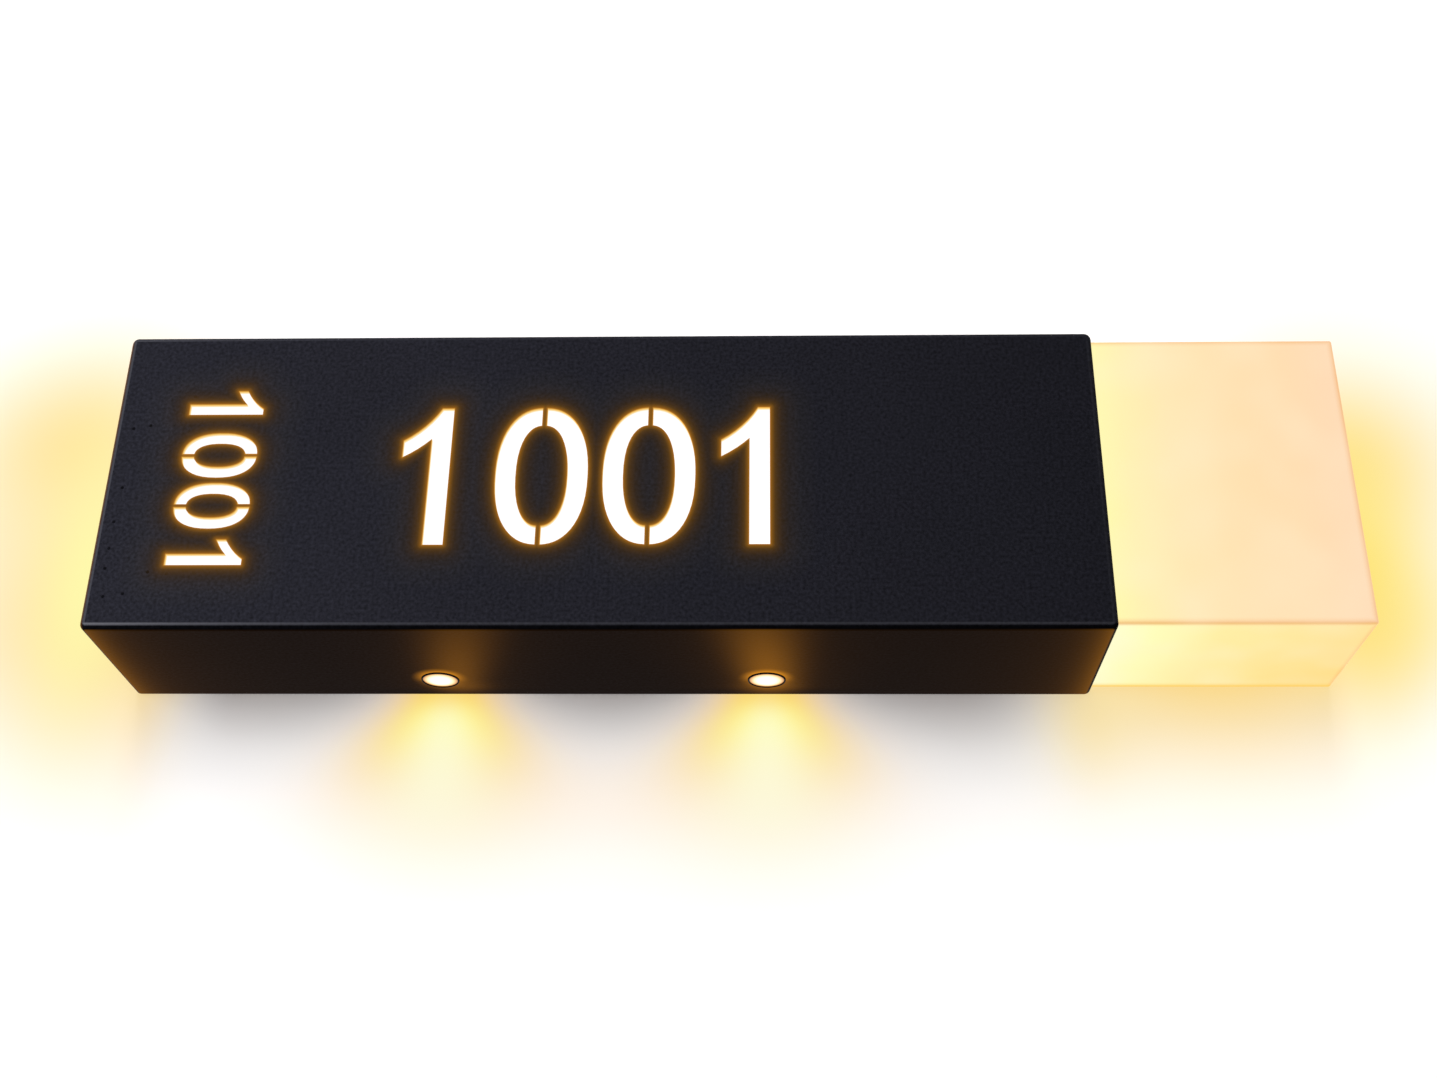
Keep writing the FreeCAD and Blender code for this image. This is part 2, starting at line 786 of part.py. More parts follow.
def spot_nut(x):
    """Ring nut that clamps the sleeve to the sheet, with four notches for its key."""
    start = V(x, spot_y, inner_bottom)
    nut = ring(start, ALONG_Z, spot_nut_radius, spot_body_radius + spot_clearance, spot_nut_height)
    z = span(inner_bottom + spot_nut_height, spot_nut_height)
    outer, inner = spot_nut_radius + overrun, spot_nut_radius - spot_nut_notch / 2
    notches = []
    for side in (-1, 1):
        reach = sorted((side * inner, side * outer))
        notches.append(block((x + reach[0], x + reach[1]), span(spot_y, spot_nut_notch), z))
        notches.append(block(span(x, spot_nut_notch), (spot_y + reach[0], spot_y + reach[1]), z))
    return nut.cut(notches)


def driver_pad():
    """Foam pad between the tray's back and the driver."""
    x = (driver_left + driver_pad_margin, driver_right - driver_pad_margin)
    z = (driver_bottom + driver_pad_margin, driver_top - driver_pad_margin)
    return block(x, (tray_rear, driver_front), z)


def driver_case():
    """Closed case, with the corners of its outline rounded."""
    case = block((driver_left, driver_right), (driver_front, driver_seam), (driver_bottom, driver_top))
    return rounded(case, driver_edge_radius, lambda edge: edge.BoundBox.YLength > driver_case_depth / 2)


def driver_lid():
    """Lid that snaps over the case, with its rear edges rounded."""
    lid = block((driver_left, driver_right), (driver_seam, driver_rear), (driver_bottom, driver_top))
    lid = rounded(lid, driver_edge_radius, lambda edge: edge.BoundBox.YLength > driver_lid_depth / 2)
    return rounded(lid, driver_lid_edge_radius, lambda edge: edge.BoundBox.YMin > driver_rear - slack)


def supply_connector():
    """Three-pole connector body with lever slots behind, wire entries below and its pin bore."""
    y, z = (tray_rear, connector_rear), (connector_bottom, connector_top)
    body = block(span(connector_x, 2 * connector_half_width), y, z)
    slot_y = (lever_floor, connector_rear + overrun)
    slot_z = (connector_top - lever_slot_run, connector_top + overrun)
    cuts = [block(span(x, lever_slot), slot_y, slot_z) for x in pole_places]
    cuts += [rod(V(x, pole_y, connector_bottom), ALONG_Z, entry_radius, entry_depth) for x in pole_places]
    start = V(connector_x - connector_half_width - overrun, lever_pin_y, lever_pin_z)
    length = 2 * (connector_half_width + overrun)
    cuts.append(rod(start, ALONG_X, lever_pin_radius + thread_clearance, length))
    return body.cut(cuts)


def lever_pin():
    """Pin that the three levers turn on."""
    start = V(connector_x - connector_half_width, lever_pin_y, lever_pin_z)
    return rod(start, ALONG_X, lever_pin_radius, 2 * connector_half_width)


def lever(x):
    """Lever with its hub on the pin and its free end past the connector's upper edge."""
    width = lever_slot - 2 * lever_side_gap
    hub = rod(V(x - width / 2, lever_pin_y, lever_pin_z), ALONG_X, lever_hub_radius, width)
    bar_z = (lever_pin_z, lever_pin_z + lever_length)
    bar = block(span(x, width), span(lever_pin_y, lever_thickness), bar_z)
    bore_start = V(x - width, lever_pin_y, lever_pin_z)
    bore = rod(bore_start, ALONG_X, lever_pin_radius + thread_clearance, 2 * width)
    return joined([hub, bar]).cut(bore)


def led_splitter():
    """Block that shares the driver's output, bonded to the tray."""
    y = (tray_rear, tray_rear + splitter_depth)
    body = block((splitter_left, splitter_right), y, span(splitter_place_z, splitter_height))
    return rounded(body, splitter_edge_radius, lambda edge: edge.BoundBox.YLength > splitter_depth / 2)


def mains_lead(pole, rise, from_driver_end):
    """Single lead from a pole up, across and down into the driver's upper side."""
    x, end_x, level = pole_places[pole], driver_right - from_driver_end, connector_top + rise
    route = [V(x, pole_y, connector_top), V(x, pole_y, level), V(end_x, pole_y, level)]
    return lead([*route, V(end_x, pole_y, driver_top)], single_lead_radius, lead_bend)


def earth_lug():
    """Ring lug on the earth stud, with its barrel pointing up."""
    plate = rod(V(lug_x, inner_front, lug_z), ALONG_Y, lug_radius, lug_thickness)
    tongue_z = (lug_z, lug_z + lug_reach + lug_barrel_length)
    tongue = block(span(lug_x, lug_barrel_radius), (inner_front, inner_front + lug_barrel_radius), tongue_z)
    keep = block(span(lug_x, lug_radius), (inner_front, inner_front + lug_thickness), tongue_z)
    start = V(lug_x, inner_front + lug_barrel_radius, lug_z + lug_reach)
    barrel = rod(start, ALONG_Z, lug_barrel_radius, lug_barrel_length)
    hole = rod(V(lug_x, inner_front - overrun, lug_z), ALONG_Y, stud_radius + hole_clearance, stud_length)
    return joined([plate, tongue.common(keep), barrel]).cut(hole)


def earth_lead():
    """Single lead from the third pole to the lug's barrel."""
    x, level = pole_places[-1], inner_top - earth_from_top
    deep = inner_front + lug_barrel_radius
    route = [V(x, pole_y, connector_top), V(x, pole_y, level), V(lug_x, pole_y, level)]
    route += [V(lug_x, deep, level), V(lug_x, deep, lug_z + lug_reach + lug_barrel_length)]
    return lead(route, single_lead_radius, lead_bend)


def driver_output_lead():
    """Twin lead from the driver's end, below the connector, to the splitter."""
    low_x, high_x = span(connector_x, 2 * connector_half_width)
    route = [V(driver_right, socket_near, socket_low), V(low_x, socket_near, socket_low)]
    route += [V(high_x, socket_near, socket_high), V(splitter_left, socket_near, socket_high)]
    return lead(route, twin_lead_radius, splitter_turn)


def number_board_lead():
    """Twin lead from the splitter through the tray to the back of the number board."""
    x = splitter_left - number_lead_turn
    route = [V(splitter_left, socket_far, socket_low), V(x, socket_far, socket_low)]
    return lead([*route, V(x, tray_floor, socket_low)], twin_lead_radius, lead_bend)


def left_board_lead():
    """Twin lead from the splitter along the tray to the left board's header."""
    turn_x = splitter_left - splitter_turn
    end_x = tray_left - board_thickness - header_height / 2
    route = [V(splitter_left, socket_near, socket_low), V(turn_x, socket_near, socket_low)]
    route += [V(turn_x, socket_near, left_lead_level), V(end_x, socket_near, left_lead_level)]
    route.append(V(end_x, left_board_y + left_board_width / 2, left_lead_level))
    return lead(route, twin_lead_radius, lead_bend)


def diffuser_board_lead():
    """Twin lead from the splitter through the carrier to the back of the block's board."""
    route = [V(splitter_right, socket_far, socket_high), V(block_left, socket_far, socket_high)]
    return lead(route, twin_lead_radius, lead_bend)


def spot_lead(x, socket_x, level):
    """Twin lead from the splitter's underside down to a downlight's board."""
    route = [V(socket_x, socket_far, splitter_bottom), V(socket_x, socket_far, level)]
    if abs(socket_x - x) > overrun:
        route.append(V(x, socket_far, level))
    route += [V(x, spot_y, level), V(x, spot_y, spot_levels()[2])]
    return lead(route, twin_lead_radius, lead_bend)


def slot(x, width, length):
    """Wall slot along X through the bracket."""
    half, through = (length - width) / 2, bracket_sheet + 2 * overrun
    ends = [rod(V(x + side, overrun, 0), -ALONG_Y, width / 2, through) for side in pair_of(half)]
    return [block(span(x, 2 * half), (bracket_front - overrun, overrun), span(0, width)), *ends]


def folds_at(rear_face):
    """Test for the two edges that run across a leg in its rear face."""
    return lambda edge: edge.BoundBox.XLength > ear_width / 2 and edge.BoundBox.YMin > rear_face - slack


def bracket_leg(x):
    """Upright of the bracket, folded forward into an ear above and a tab below."""
    bent = block(span(x, ear_width), (-ear_reach, 0), (tab_bottom, ear_top))
    bent = rounded(bent, bracket_bend_radius, folds_at(0))
    past_ear = span(x, ear_width + 2 * overrun)
    inside_z = (tab_bottom + bracket_sheet, ear_top - bracket_sheet)
    inside = block(past_ear, (-ear_reach - overrun, bracket_front), inside_z)
    inside = rounded(inside, bracket_inner_radius, folds_at(bracket_front))
    spare = block(past_ear, (-ear_reach - overrun, -tab_reach), (tab_bottom - overrun, 0))
    flat_z = (tab_bottom + bracket_bend_radius, ear_top - bracket_bend_radius)
    flat = block(span(x, leg_width), (bracket_front, 0), flat_z)
    return joined([bent.cut([inside, spare]), flat])


def wall_bracket():
    """Folded plate with slotted wall holes, the cable hole and the ears that carry the shell."""
    band = block(span(0, leg_spacing + leg_width), (bracket_front, 0), span(0, band_height))
    legs = [bracket_leg(x) for x in pair_of(leg_spacing / 2)]
    cuts = []
    for x in pair_of(leg_spacing / 2):
        cuts += slot(x, wall_slot_width, wall_slot_length)
    for x in pair_of(box_slot_spacing / 2):
        cuts += slot(x, box_slot_width, box_slot_length)
    through = bracket_sheet + 2 * overrun
    hole = bushing_sleeve_radius + bushing_clearance
    cuts.append(rod(V(0, overrun, entry_place_z), -ALONG_Y, hole, through))
    for x in pair_of(leg_spacing / 2):
        hole = cover_screw_radius + hole_clearance
        cuts.append(rod(V(x, -cover_screw_from_wall, ear_top + overrun), -ALONG_Z, hole, through))
    return joined([band, *legs]).cut(cuts)


def cable_bushing():
    """Nylon bushing in the bracket's cable hole."""
    front_y = bracket_front - bushing_flange
    flange = rod(V(0, front_y, entry_place_z), ALONG_Y, bushing_flange_radius, bushing_flange)
    sleeve = rod(V(0, bracket_front, entry_place_z), ALONG_Y, bushing_sleeve_radius, bracket_sheet)
    bore = rod(V(0, front_y, entry_place_z), ALONG_Y, bushing_bore_radius, bushing_flange + bracket_sheet)
    return joined([flange, sleeve]).cut(bore)


def clinch_nuts():
    """Threaded nuts pressed into the ears for the cover screws."""
    under = ear_top - bracket_sheet - clinch_nut_height
    bore = cover_screw_radius + thread_clearance
    places = [V(x, -cover_screw_from_wall, under) for x in pair_of(leg_spacing / 2)]
    return group([ring(place, ALONG_Z, clinch_nut_radius, bore, clinch_nut_height) for place in places])


def cover_screw(x):
    """Button-head screw with a hexagonal key socket, seated on the shell's top."""
    seat = V(x, -cover_screw_from_wall, top)
    head = rod(seat, ALONG_Z, cover_screw_head_radius, cover_screw_head_height)
    rim = top + cover_screw_head_height - slack
    head = rounded(head, cover_screw_crown, lambda edge: edge.BoundBox.ZMin > rim)
    shank = rod(seat, -ALONG_Z, cover_screw_radius, cover_screw_length)
    key_start = seat + ALONG_Z * (cover_screw_head_height - cover_screw_key_depth)
    key = hexagon(key_start, ALONG_Z, cover_screw_key, cover_screw_key_depth + overrun)
    return joined([head, shank]).cut(key)


def earth_stud():
    """Weld stud on the bracket for the supply's earth lead."""
    start = V(earth_place_x, bracket_front, entry_place_z)
    return rod(start, -ALONG_Y, earth_stud_radius, earth_stud_length)


def earth_washer():
    start = V(earth_place_x, bracket_front, entry_place_z)
    hole = earth_stud_radius + hole_clearance
    return ring(start, -ALONG_Y, earth_washer_radius, hole, earth_washer_thickness)


def earth_nut():
    start = V(earth_place_x, bracket_front - earth_washer_thickness, entry_place_z)
    bore = rod(start, -ALONG_Y, earth_stud_radius + thread_clearance, earth_nut_height)
    return hexagon(start, -ALONG_Y, earth_nut_flats, earth_nut_height).cut(bore)


pieces = {
    "shell": shell(),
    "left_window": left_window(),
    "diffuser": diffuser(),
    "number_panel": number_panel(),
    "weld_studs": weld_studs(),
    "stud_nuts": stud_nuts(),
    "light_tray": light_tray(),
    "number_board": number_board(),
    "number_chips": number_chips(),
    "left_board": left_board(),
    "left_chips": left_chips(),
    "diffuser_carrier": diffuser_carrier(),
    "diffuser_screws": diffuser_screws(),
    "diffuser_board": diffuser_board(),
    "diffuser_chips": diffuser_chips(),
    "board_screws": board_screws(),
    "driver_pad": driver_pad(),
    "driver_case": driver_case(),
    "driver_lid": driver_lid(),
    "supply_connector": supply_connector(),
    "lever_pin": lever_pin(),
    "led_splitter": led_splitter(),
    "live_lead": mains_lead(0, live_rise, live_from_driver_end),
    "neutral_lead": mains_lead(1, neutral_rise, neutral_from_driver_end),
    "earth_lead": earth_lead(),
    "earth_lug": earth_lug(),
    "driver_output_lead": driver_output_lead(),
    "number_board_lead": number_board_lead(),
    "left_board_lead": left_board_lead(),
    "diffuser_board_lead": diffuser_board_lead(),
    "spot_left_lead": spot_lead(spot_places[0], splitter_place_x + spot_left_socket, long_lead_level),
    "spot_right_lead": spot_lead(spot_places[1], spot_places[1], spot_lead_level),
    "wall_bracket": wall_bracket(),
    "cable_bushing": cable_bushing(),
    "clinch_nuts": clinch_nuts(),
    "earth_stud": earth_stud(),
    "earth_washer": earth_washer(),
    "earth_nut": earth_nut(),
}
for name, x in zip(("left", "right"), spot_places):
    pieces[f"spot_{name}_body"] = spot_body(x)
    pieces[f"spot_{name}_lens"] = spot_lens(x)
    pieces[f"spot_{name}_reflector"] = spot_reflector(x)
    pieces[f"spot_{name}_board"] = spot_board(x)
    pieces[f"spot_{name}_cap"] = spot_cap(x)
    pieces[f"spot_{name}_nut"] = spot_nut(x)
for name, x in zip(("left", "right"), pair_of(leg_spacing / 2)):
    pieces[f"cover_screw_{name}"] = cover_screw(x)
for name, x in zip(("live", "neutral", "earth"), pole_places):
    pieces[f"lever_{name}"] = lever(x)

os.makedirs("parts", exist_ok=True)
for name, shape in pieces.items():
    shape.exportStep(f"parts/{name}.step")
print(len(pieces), "sub-parts")
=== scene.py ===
"""Room number wall light: finishes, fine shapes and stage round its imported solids, all in metres."""
import math

import bmesh
import bpy
import numpy as np
from bpy.props import FloatProperty, FloatVectorProperty, PointerProperty
from mathutils import Euler, Matrix, Vector, geometry


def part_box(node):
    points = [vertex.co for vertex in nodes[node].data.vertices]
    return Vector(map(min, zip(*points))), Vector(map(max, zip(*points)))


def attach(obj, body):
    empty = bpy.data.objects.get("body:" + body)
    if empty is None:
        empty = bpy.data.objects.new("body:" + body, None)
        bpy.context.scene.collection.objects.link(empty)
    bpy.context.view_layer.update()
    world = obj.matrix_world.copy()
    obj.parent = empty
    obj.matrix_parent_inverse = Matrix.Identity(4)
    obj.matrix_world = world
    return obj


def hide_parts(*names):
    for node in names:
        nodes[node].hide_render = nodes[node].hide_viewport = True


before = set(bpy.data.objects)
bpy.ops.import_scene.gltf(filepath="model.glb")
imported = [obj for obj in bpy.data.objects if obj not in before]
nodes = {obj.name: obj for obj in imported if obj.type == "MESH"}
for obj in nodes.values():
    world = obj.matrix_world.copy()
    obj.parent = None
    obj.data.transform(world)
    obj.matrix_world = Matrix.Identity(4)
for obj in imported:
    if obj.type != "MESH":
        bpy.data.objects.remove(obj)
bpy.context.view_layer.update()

bl_info = {
    "name": "Room number wall light",
    "version": (1, 0, 0),
    "blender": (4, 5, 0),
    "location": "View3D > Sidebar > Wall light",
    "description": "Gives a lit room number box its finishes, fine shapes and a plain stage",
    "category": "Object",
}

mm = 0.001
sides = ("left", "right")
X, Y, Z = range(3)

# Turns that lay a mesh's height along an axis or against it
ALONG_X, AGAINST_X = (0, math.pi / 2, 0), (0, -math.pi / 2, 0)
ALONG_Y, AGAINST_Y = (-math.pi / 2, 0, 0), (math.pi / 2, 0, 0)
UPRIGHT = (0, 0, 0)

# Places read from the solids
shell_low, shell_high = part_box("shell")
block_low, block_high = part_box("diffuser")
spot_places = [sum(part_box(f"spot_{side}_lens"), Vector()) / 2 for side in sides]


# Colours and nodes

def linear(colour):
    """Linear RGBA of an sRGB hex colour. A colour from the settings is linear already."""
    if not isinstance(colour, str):
        return (*colour, 1.0)
    channels = [int(colour[i:i + 2], 16) / 255 for i in (1, 3, 5)]
    return (*[c / 12.92 if c <= 0.04045 else ((c + 0.055) / 1.055) ** 2.4 for c in channels], 1.0)


def feed(tree, socket, value):
    """Set a socket to a value, or link it to another socket or to a node's first open output."""
    if isinstance(value, bpy.types.Node):
        value = next(output for output in value.outputs if output.enabled)
    if isinstance(value, bpy.types.NodeSocket):
        tree.links.new(value, socket)
    else:
        socket.default_value = value


def add(tree, kind, *inputs, stops=(), **settings):
    """Add a node with its settings, and feed its open sockets in order, or by name from one dictionary. A
    kind with no family is a shader node, and stops are a ramp's places and hex colours."""
    node = tree.nodes.new(kind if "Node" in kind else "ShaderNode" + kind)
    for name, value in settings.items():
        setattr(node, name, value)
    for _ in stops[2:]:
        node.color_ramp.elements.new(0.5)
    for i, (place, colour) in enumerate(stops):
        node.color_ramp.elements[i].position = place
        node.color_ramp.elements[i].color = linear(colour)
    sockets = [socket for socket in node.inputs if socket.enabled]
    if inputs and isinstance(inputs[0], dict):
        named = {socket.name: socket for socket in sockets}
        sockets, inputs = [named[name] for name in inputs[0]], inputs[0].values()
    for socket, value in zip(sockets, inputs):
        feed(tree, socket, value)
    return node


def source(socket):
    """Socket that feeds another."""
    return socket.links[0].from_socket


def finish(name, colour, other, grain, relief, roughness, spread=0.06, patchy=1.0, **constants):
    """Material with a fine grain: its colour, roughness and relief vary over the grain's size in
    millimetres. A patchy one also gets soft clouds, thirty times as large. Moulded, anodised, frosted and
    plated surfaces have a finer grain in reality, which is drawn coarser here so that it shows."""
    material = bpy.data.materials.new(name)
    material.use_nodes = True
    tree = material.node_tree
    tree.nodes.clear()
    place = add(tree, "TexCoord").outputs["Object"]
    noise = add(tree, "TexNoise", {"Vector": place, "Scale": 1 / (grain * mm), "Detail": 3.0})
    cloud = add(tree, "TexNoise", {"Vector": place, "Scale": 1 / (30 * grain * mm), "Detail": 2.0})
    clouds = add(tree, "Math", cloud, patchy, 0.5 * (1 - patchy), operation="MULTIPLY_ADD")
    both = add(tree, "Math", noise, clouds, operation="MULTIPLY")
    share = add(tree, "MapRange", both, 0.12, 0.42)
    bump = add(tree, "Bump", {"Height": noise, "Distance": relief * mm, "Strength": 1.0})
    shader = add(tree, "BsdfPrincipled", {
        "Base Color": add(tree, "Mix", share, linear(colour), linear(other), data_type="RGBA"),
        "Roughness": add(tree, "MapRange", cloud, 0.3, 0.7, roughness - spread, roughness + spread),
        "Normal": bump,
        **{key.replace("_", " "): value for key, value in constants.items()}})
    add(tree, "OutputMaterial", {"Surface": shader})
    return material, tree, shader


# Pieces

def new_piece(name, mesh, material, body, replaced):
    """Object of a finished mesh that rides a body in place of a CAD node."""
    piece = bpy.data.objects.new(name, mesh)
    bpy.context.scene.collection.objects.link(piece)
    mesh.materials.clear()
    mesh.materials.append(material)
    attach(piece, body)
    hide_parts(replaced)


def dress(material, *names):
    """Give CAD nodes a finish."""
    for name in names:
        nodes[name].data.materials.clear()
        nodes[name].data.materials.append(material)


def merged_copy(node):
    """Editable copy of a node's mesh with its split corners joined."""
    work = bmesh.new()
    work.from_mesh(nodes[node].data)
    bmesh.ops.remove_doubles(work, verts=work.verts, dist=0.002 * mm)
    return work


def finished_mesh(name, work):
    """Plain mesh from an editable one, smooth but for its sharp edges."""
    mesh = bpy.data.meshes.new(name)
    work.to_mesh(mesh)
    work.free()
    mesh.polygons.foreach_set("use_smooth", [True] * len(mesh.polygons))
    mesh.set_sharp_from_angle(angle=math.radians(32))
    return mesh


def evaluated_mesh(holder):
    """Plain mesh of an object with its modifier applied. The object goes."""
    graph = bpy.context.evaluated_depsgraph_get()
    mesh = bpy.data.meshes.new_from_object(holder.evaluated_get(graph), depsgraph=graph)
    bpy.data.objects.remove(holder)
    return mesh


def moved(mesh, place, turn=UPRIGHT):
    """The mesh with its place and turn applied."""
    mesh.transform(Matrix.Translation(place) @ Euler(turn).to_matrix().to_4x4())
    return mesh


def eased_piece(name, node, width, material, body="cover"):
    """Piece that copies a node with its flats joined and its sharp edges broken by a small rounding, in
    millimetres."""
    work = merged_copy(node)
    bmesh.ops.dissolve_limit(work, angle_limit=math.radians(0.4), verts=work.verts, edges=work.edges,
                             use_dissolve_boundaries=False)
    holder = bpy.data.objects.new(name, finished_mesh(name, work))
    bpy.context.scene.collection.objects.link(holder)
    edge = holder.modifiers.new("broken_edges", "BEVEL")
    edge.width = width * mm
    edge.segments = 2
    edge.limit_method = "ANGLE"
    edge.angle_limit = math.radians(40)
    edge.harden_normals = True
    new_piece(name, evaluated_mesh(holder), material, body, node)


def box_normals(mesh, low, high, radius, square_left=False):
    """Give the outer skin of a box with rounded edges its exact normals, so that its flats stay flat. Its
    rear edges are square, and so are those of its left side when asked."""
    vertices = np.array([v.co for v in mesh.vertices])
    normals = np.array([tuple(n.vector) for n in mesh.corner_normals])
    inner_low = np.array(low) + radius * np.array((-1 if square_left else 1, 1, 1))
    inner_high = np.array(high) + radius * np.array((-1, 1, -1))
    for face in mesh.polygons:
        corners = vertices[list(face.vertices)]
        away = corners - np.clip(corners, inner_low, inner_high)
        lengths = np.linalg.norm(away, axis=1)
        if abs(lengths - radius).max() > 0.05 * mm:
            continue
        exact = away / lengths[:, None]
        if (exact @ np.array(face.normal)).min() > 0.8:
            normals[list(face.loop_indices)] = exact
    mesh.normals_split_custom_set([tuple(n) for n in normals])


def solid_boxes(node):
    """Lowest and highest corner of each separate solid of a node, in order along X, then Z, then Y."""
    work = merged_copy(node)
    waiting, boxes = set(work.verts), []
    while waiting:
        reached = [waiting.pop()]
        for vertex in reached:
            for edge in vertex.link_edges:
                other = edge.other_vert(vertex)
                if other in waiting:
                    waiting.discard(other)
                    reached.append(other)
        corners = np.array([v.co for v in reached])
        boxes.append((Vector(corners.min(0)), Vector(corners.max(0))))
    work.free()
    return sorted(boxes, key=lambda box: tuple(round(c, 5) for c in (box[0].x, box[0].z, box[0].y)))


def end_of(box, axis, upper=False):
    """Middle of a box's low or high end along an axis."""
    point = (box[0] + box[1]) / 2
    point[axis] = box[upper][axis]
    return point


def length_of(box, axis):
    """Length of a box along an axis in millimetres."""
    return (box[1][axis] - box[0][axis]) / mm


# Turned shapes, in millimetres about the Z axis

def turned(name, rings, faces=48, bored=False):
    """Mesh through rings of (radius, height), each a number or a function of the angle. A bored body closes
    from its last ring to its first, any other with a flat at both ends."""
    work, loops = bmesh.new(), []
    for radius, height in rings:
        loop = []
        for turn in np.arange(faces) * 2 * math.pi / faces:
            out = (radius(turn) if callable(radius) else radius) * mm
            up = (height(turn) if callable(height) else height) * mm
            loop.append(work.verts.new((out * math.cos(turn), out * math.sin(turn), up)))
        loops.append(loop)
    pairs = list(zip(loops, loops[1:]))
    if bored:
        pairs.append((loops[-1], loops[0]))
    else:
        work.faces.new(loops[0])
        work.faces.new(loops[-1])
    for lower, upper in pairs:
        for i in range(faces):
            j = (i + 1) % faces
            work.faces.new((lower[i], lower[j], upper[j], upper[i]))
    bmesh.ops.recalc_face_normals(work, faces=work.faces)
    return finished_mesh(name, work)


def hexagonal(flats):
    """Radius at each angle of a hexagon across its flats."""
    return lambda turn: flats / 2 / math.cos((turn + math.pi / 6) % (math.pi / 3) - math.pi / 6)


def threaded(radius, depth, pitch, low, high):
    """Rings of an outside thread between two heights, cut into the radius and running out at both ends."""
    rings, count = [], 4 * max(1, round((high - low) / pitch))
    for height in np.linspace(low, high, count + 1):
        ease = min(1.0, (height - low) / pitch, (high - height) / pitch)

        def crest(turn, height=height, ease=ease):
            phase = (height / pitch - turn / (2 * math.pi)) % 1
            return radius - depth * ease * (1 - abs(2 * phase - 1))
        rings.append((crest, height))
    return rings


def hex_nut(name, flats, height, bore):
    """Hexagon nut with both ends chamfered, from height 0."""
    outline = hexagonal(flats)
    chamfers = [(0.0, 0.475), (0.09, 0.495), (0.2, 0.525), (0.36, 0.58)]
    outer = [(lambda turn, limit=share * flats: min(outline(turn), limit), up) for up, share in chamfers]
    outer += [(radius, height - up) for radius, up in reversed(outer)]
    bored = [(1.14 * bore, height), (bore, height - 0.25), (bore, 0.25), (1.14 * bore, 0)]
    return turned(name, outer + bored, bored=True)


def pan_screw(name, head_radius, head_height, radius, pitch, length):
    """Pan-head screw with a cross recess, its head's top at height 0 and its point at the length."""
    arm, depth = 0.16 * head_radius, 0.6 * head_height

    def cross(out, floor):
        def height(turn):
            aside = abs(out * math.sin((turn + math.pi / 4) % (math.pi / 2) - math.pi / 4))
            return floor if aside < arm else crown(out)
        return height

    def crown(out):
        return 0.35 * head_height * (out / head_radius) ** 2.5
    rings = [(0.04 * head_radius, depth), (0.14 * head_radius, depth)]
    for share in (0.2, 0.3, 0.4, 0.5):
        rings.append((share * head_radius, cross(share * head_radius, depth * (1.2 - share))))
    rings += [(share * head_radius, crown(share * head_radius)) for share in (0.56, 0.75, 0.9, 0.97)]
    rings += [(head_radius, 0.6 * head_height), (head_radius, 0.94 * head_height)]
    rings.append((0.96 * head_radius, head_height))
    rings += threaded(radius, 0.65 * pitch, pitch, head_height, length - 0.5 * pitch)
    rings.append((0.7 * radius, length))
    return turned(name, rings)


def button_screw(name):
    """M4 button-head screw with a hexagonal socket, its seat at height 0."""
    radius, head_radius, top, crown = 2.0, 3.8, 2.2, 1.6
    key, key_depth = hexagonal(2.5), 1.3
    rings = [(1.45, -10), (1.9, -9.6)] + threaded(radius, 0.26, 0.7, -9.5, -0.7)
    rings += [(radius, -0.1), (radius, 0), (head_radius - 0.08, 0), (head_radius, 0.08)]
    for turn in np.linspace(0, math.pi / 2, 9):
        rings.append((head_radius - crown * (1 - math.cos(turn)), top - crown * (1 - math.sin(turn))))
    rings += [(lambda turn: key(turn) + 0.12, top), (key, top - 0.12), (key, top - key_depth + 0.05),
              (lambda turn: 0.3 * key(turn), top - key_depth)]
    return turned(name, rings)


def clinch_nut(name, height):
    """Press-in nut with a knurled collar at its upper end and chamfers below."""
    collar, body, bore = 3.9, 3.65, 2.05

    def knurl(turn):
        return collar - 0.22 * (1 + math.cos(24 * turn)) / 2
    rings = [(body - 0.35, 0), (body, 0.3), (body, height - 1.5), (knurl, height - 1.4),
             (knurl, height - 0.1), (3.7, height), (bore + 0.25, height), (bore, height - 0.25), (bore, 0.25),
             (bore + 0.25, 0)]
    return turned(name, rings, faces=96, bored=True)


def ring_nut(name, low, high):
    """Thin ring nut with four spanner notches, knurled between them."""
    radius, notch_floor, half_notch, bore, chamfer = 7.6, 6.9, 1.0, 5.75, 0.25

    def rim(turn):
        quarter = (turn + math.pi / 4) % (math.pi / 2) - math.pi / 4
        if abs(radius * math.sin(quarter)) < half_notch:
            return notch_floor
        return radius - 0.14 * (1 + math.cos(40 * turn)) / 2

    def edge(turn):
        return rim(turn) - chamfer
    rings = [(edge, low), (rim, low + chamfer), (rim, high - chamfer), (edge, high), (bore + chamfer, high),
             (bore, high - chamfer), (bore, low + chamfer), (bore + chamfer, low)]
    return turned(name, rings, faces=160, bored=True)


# Repeated shapes

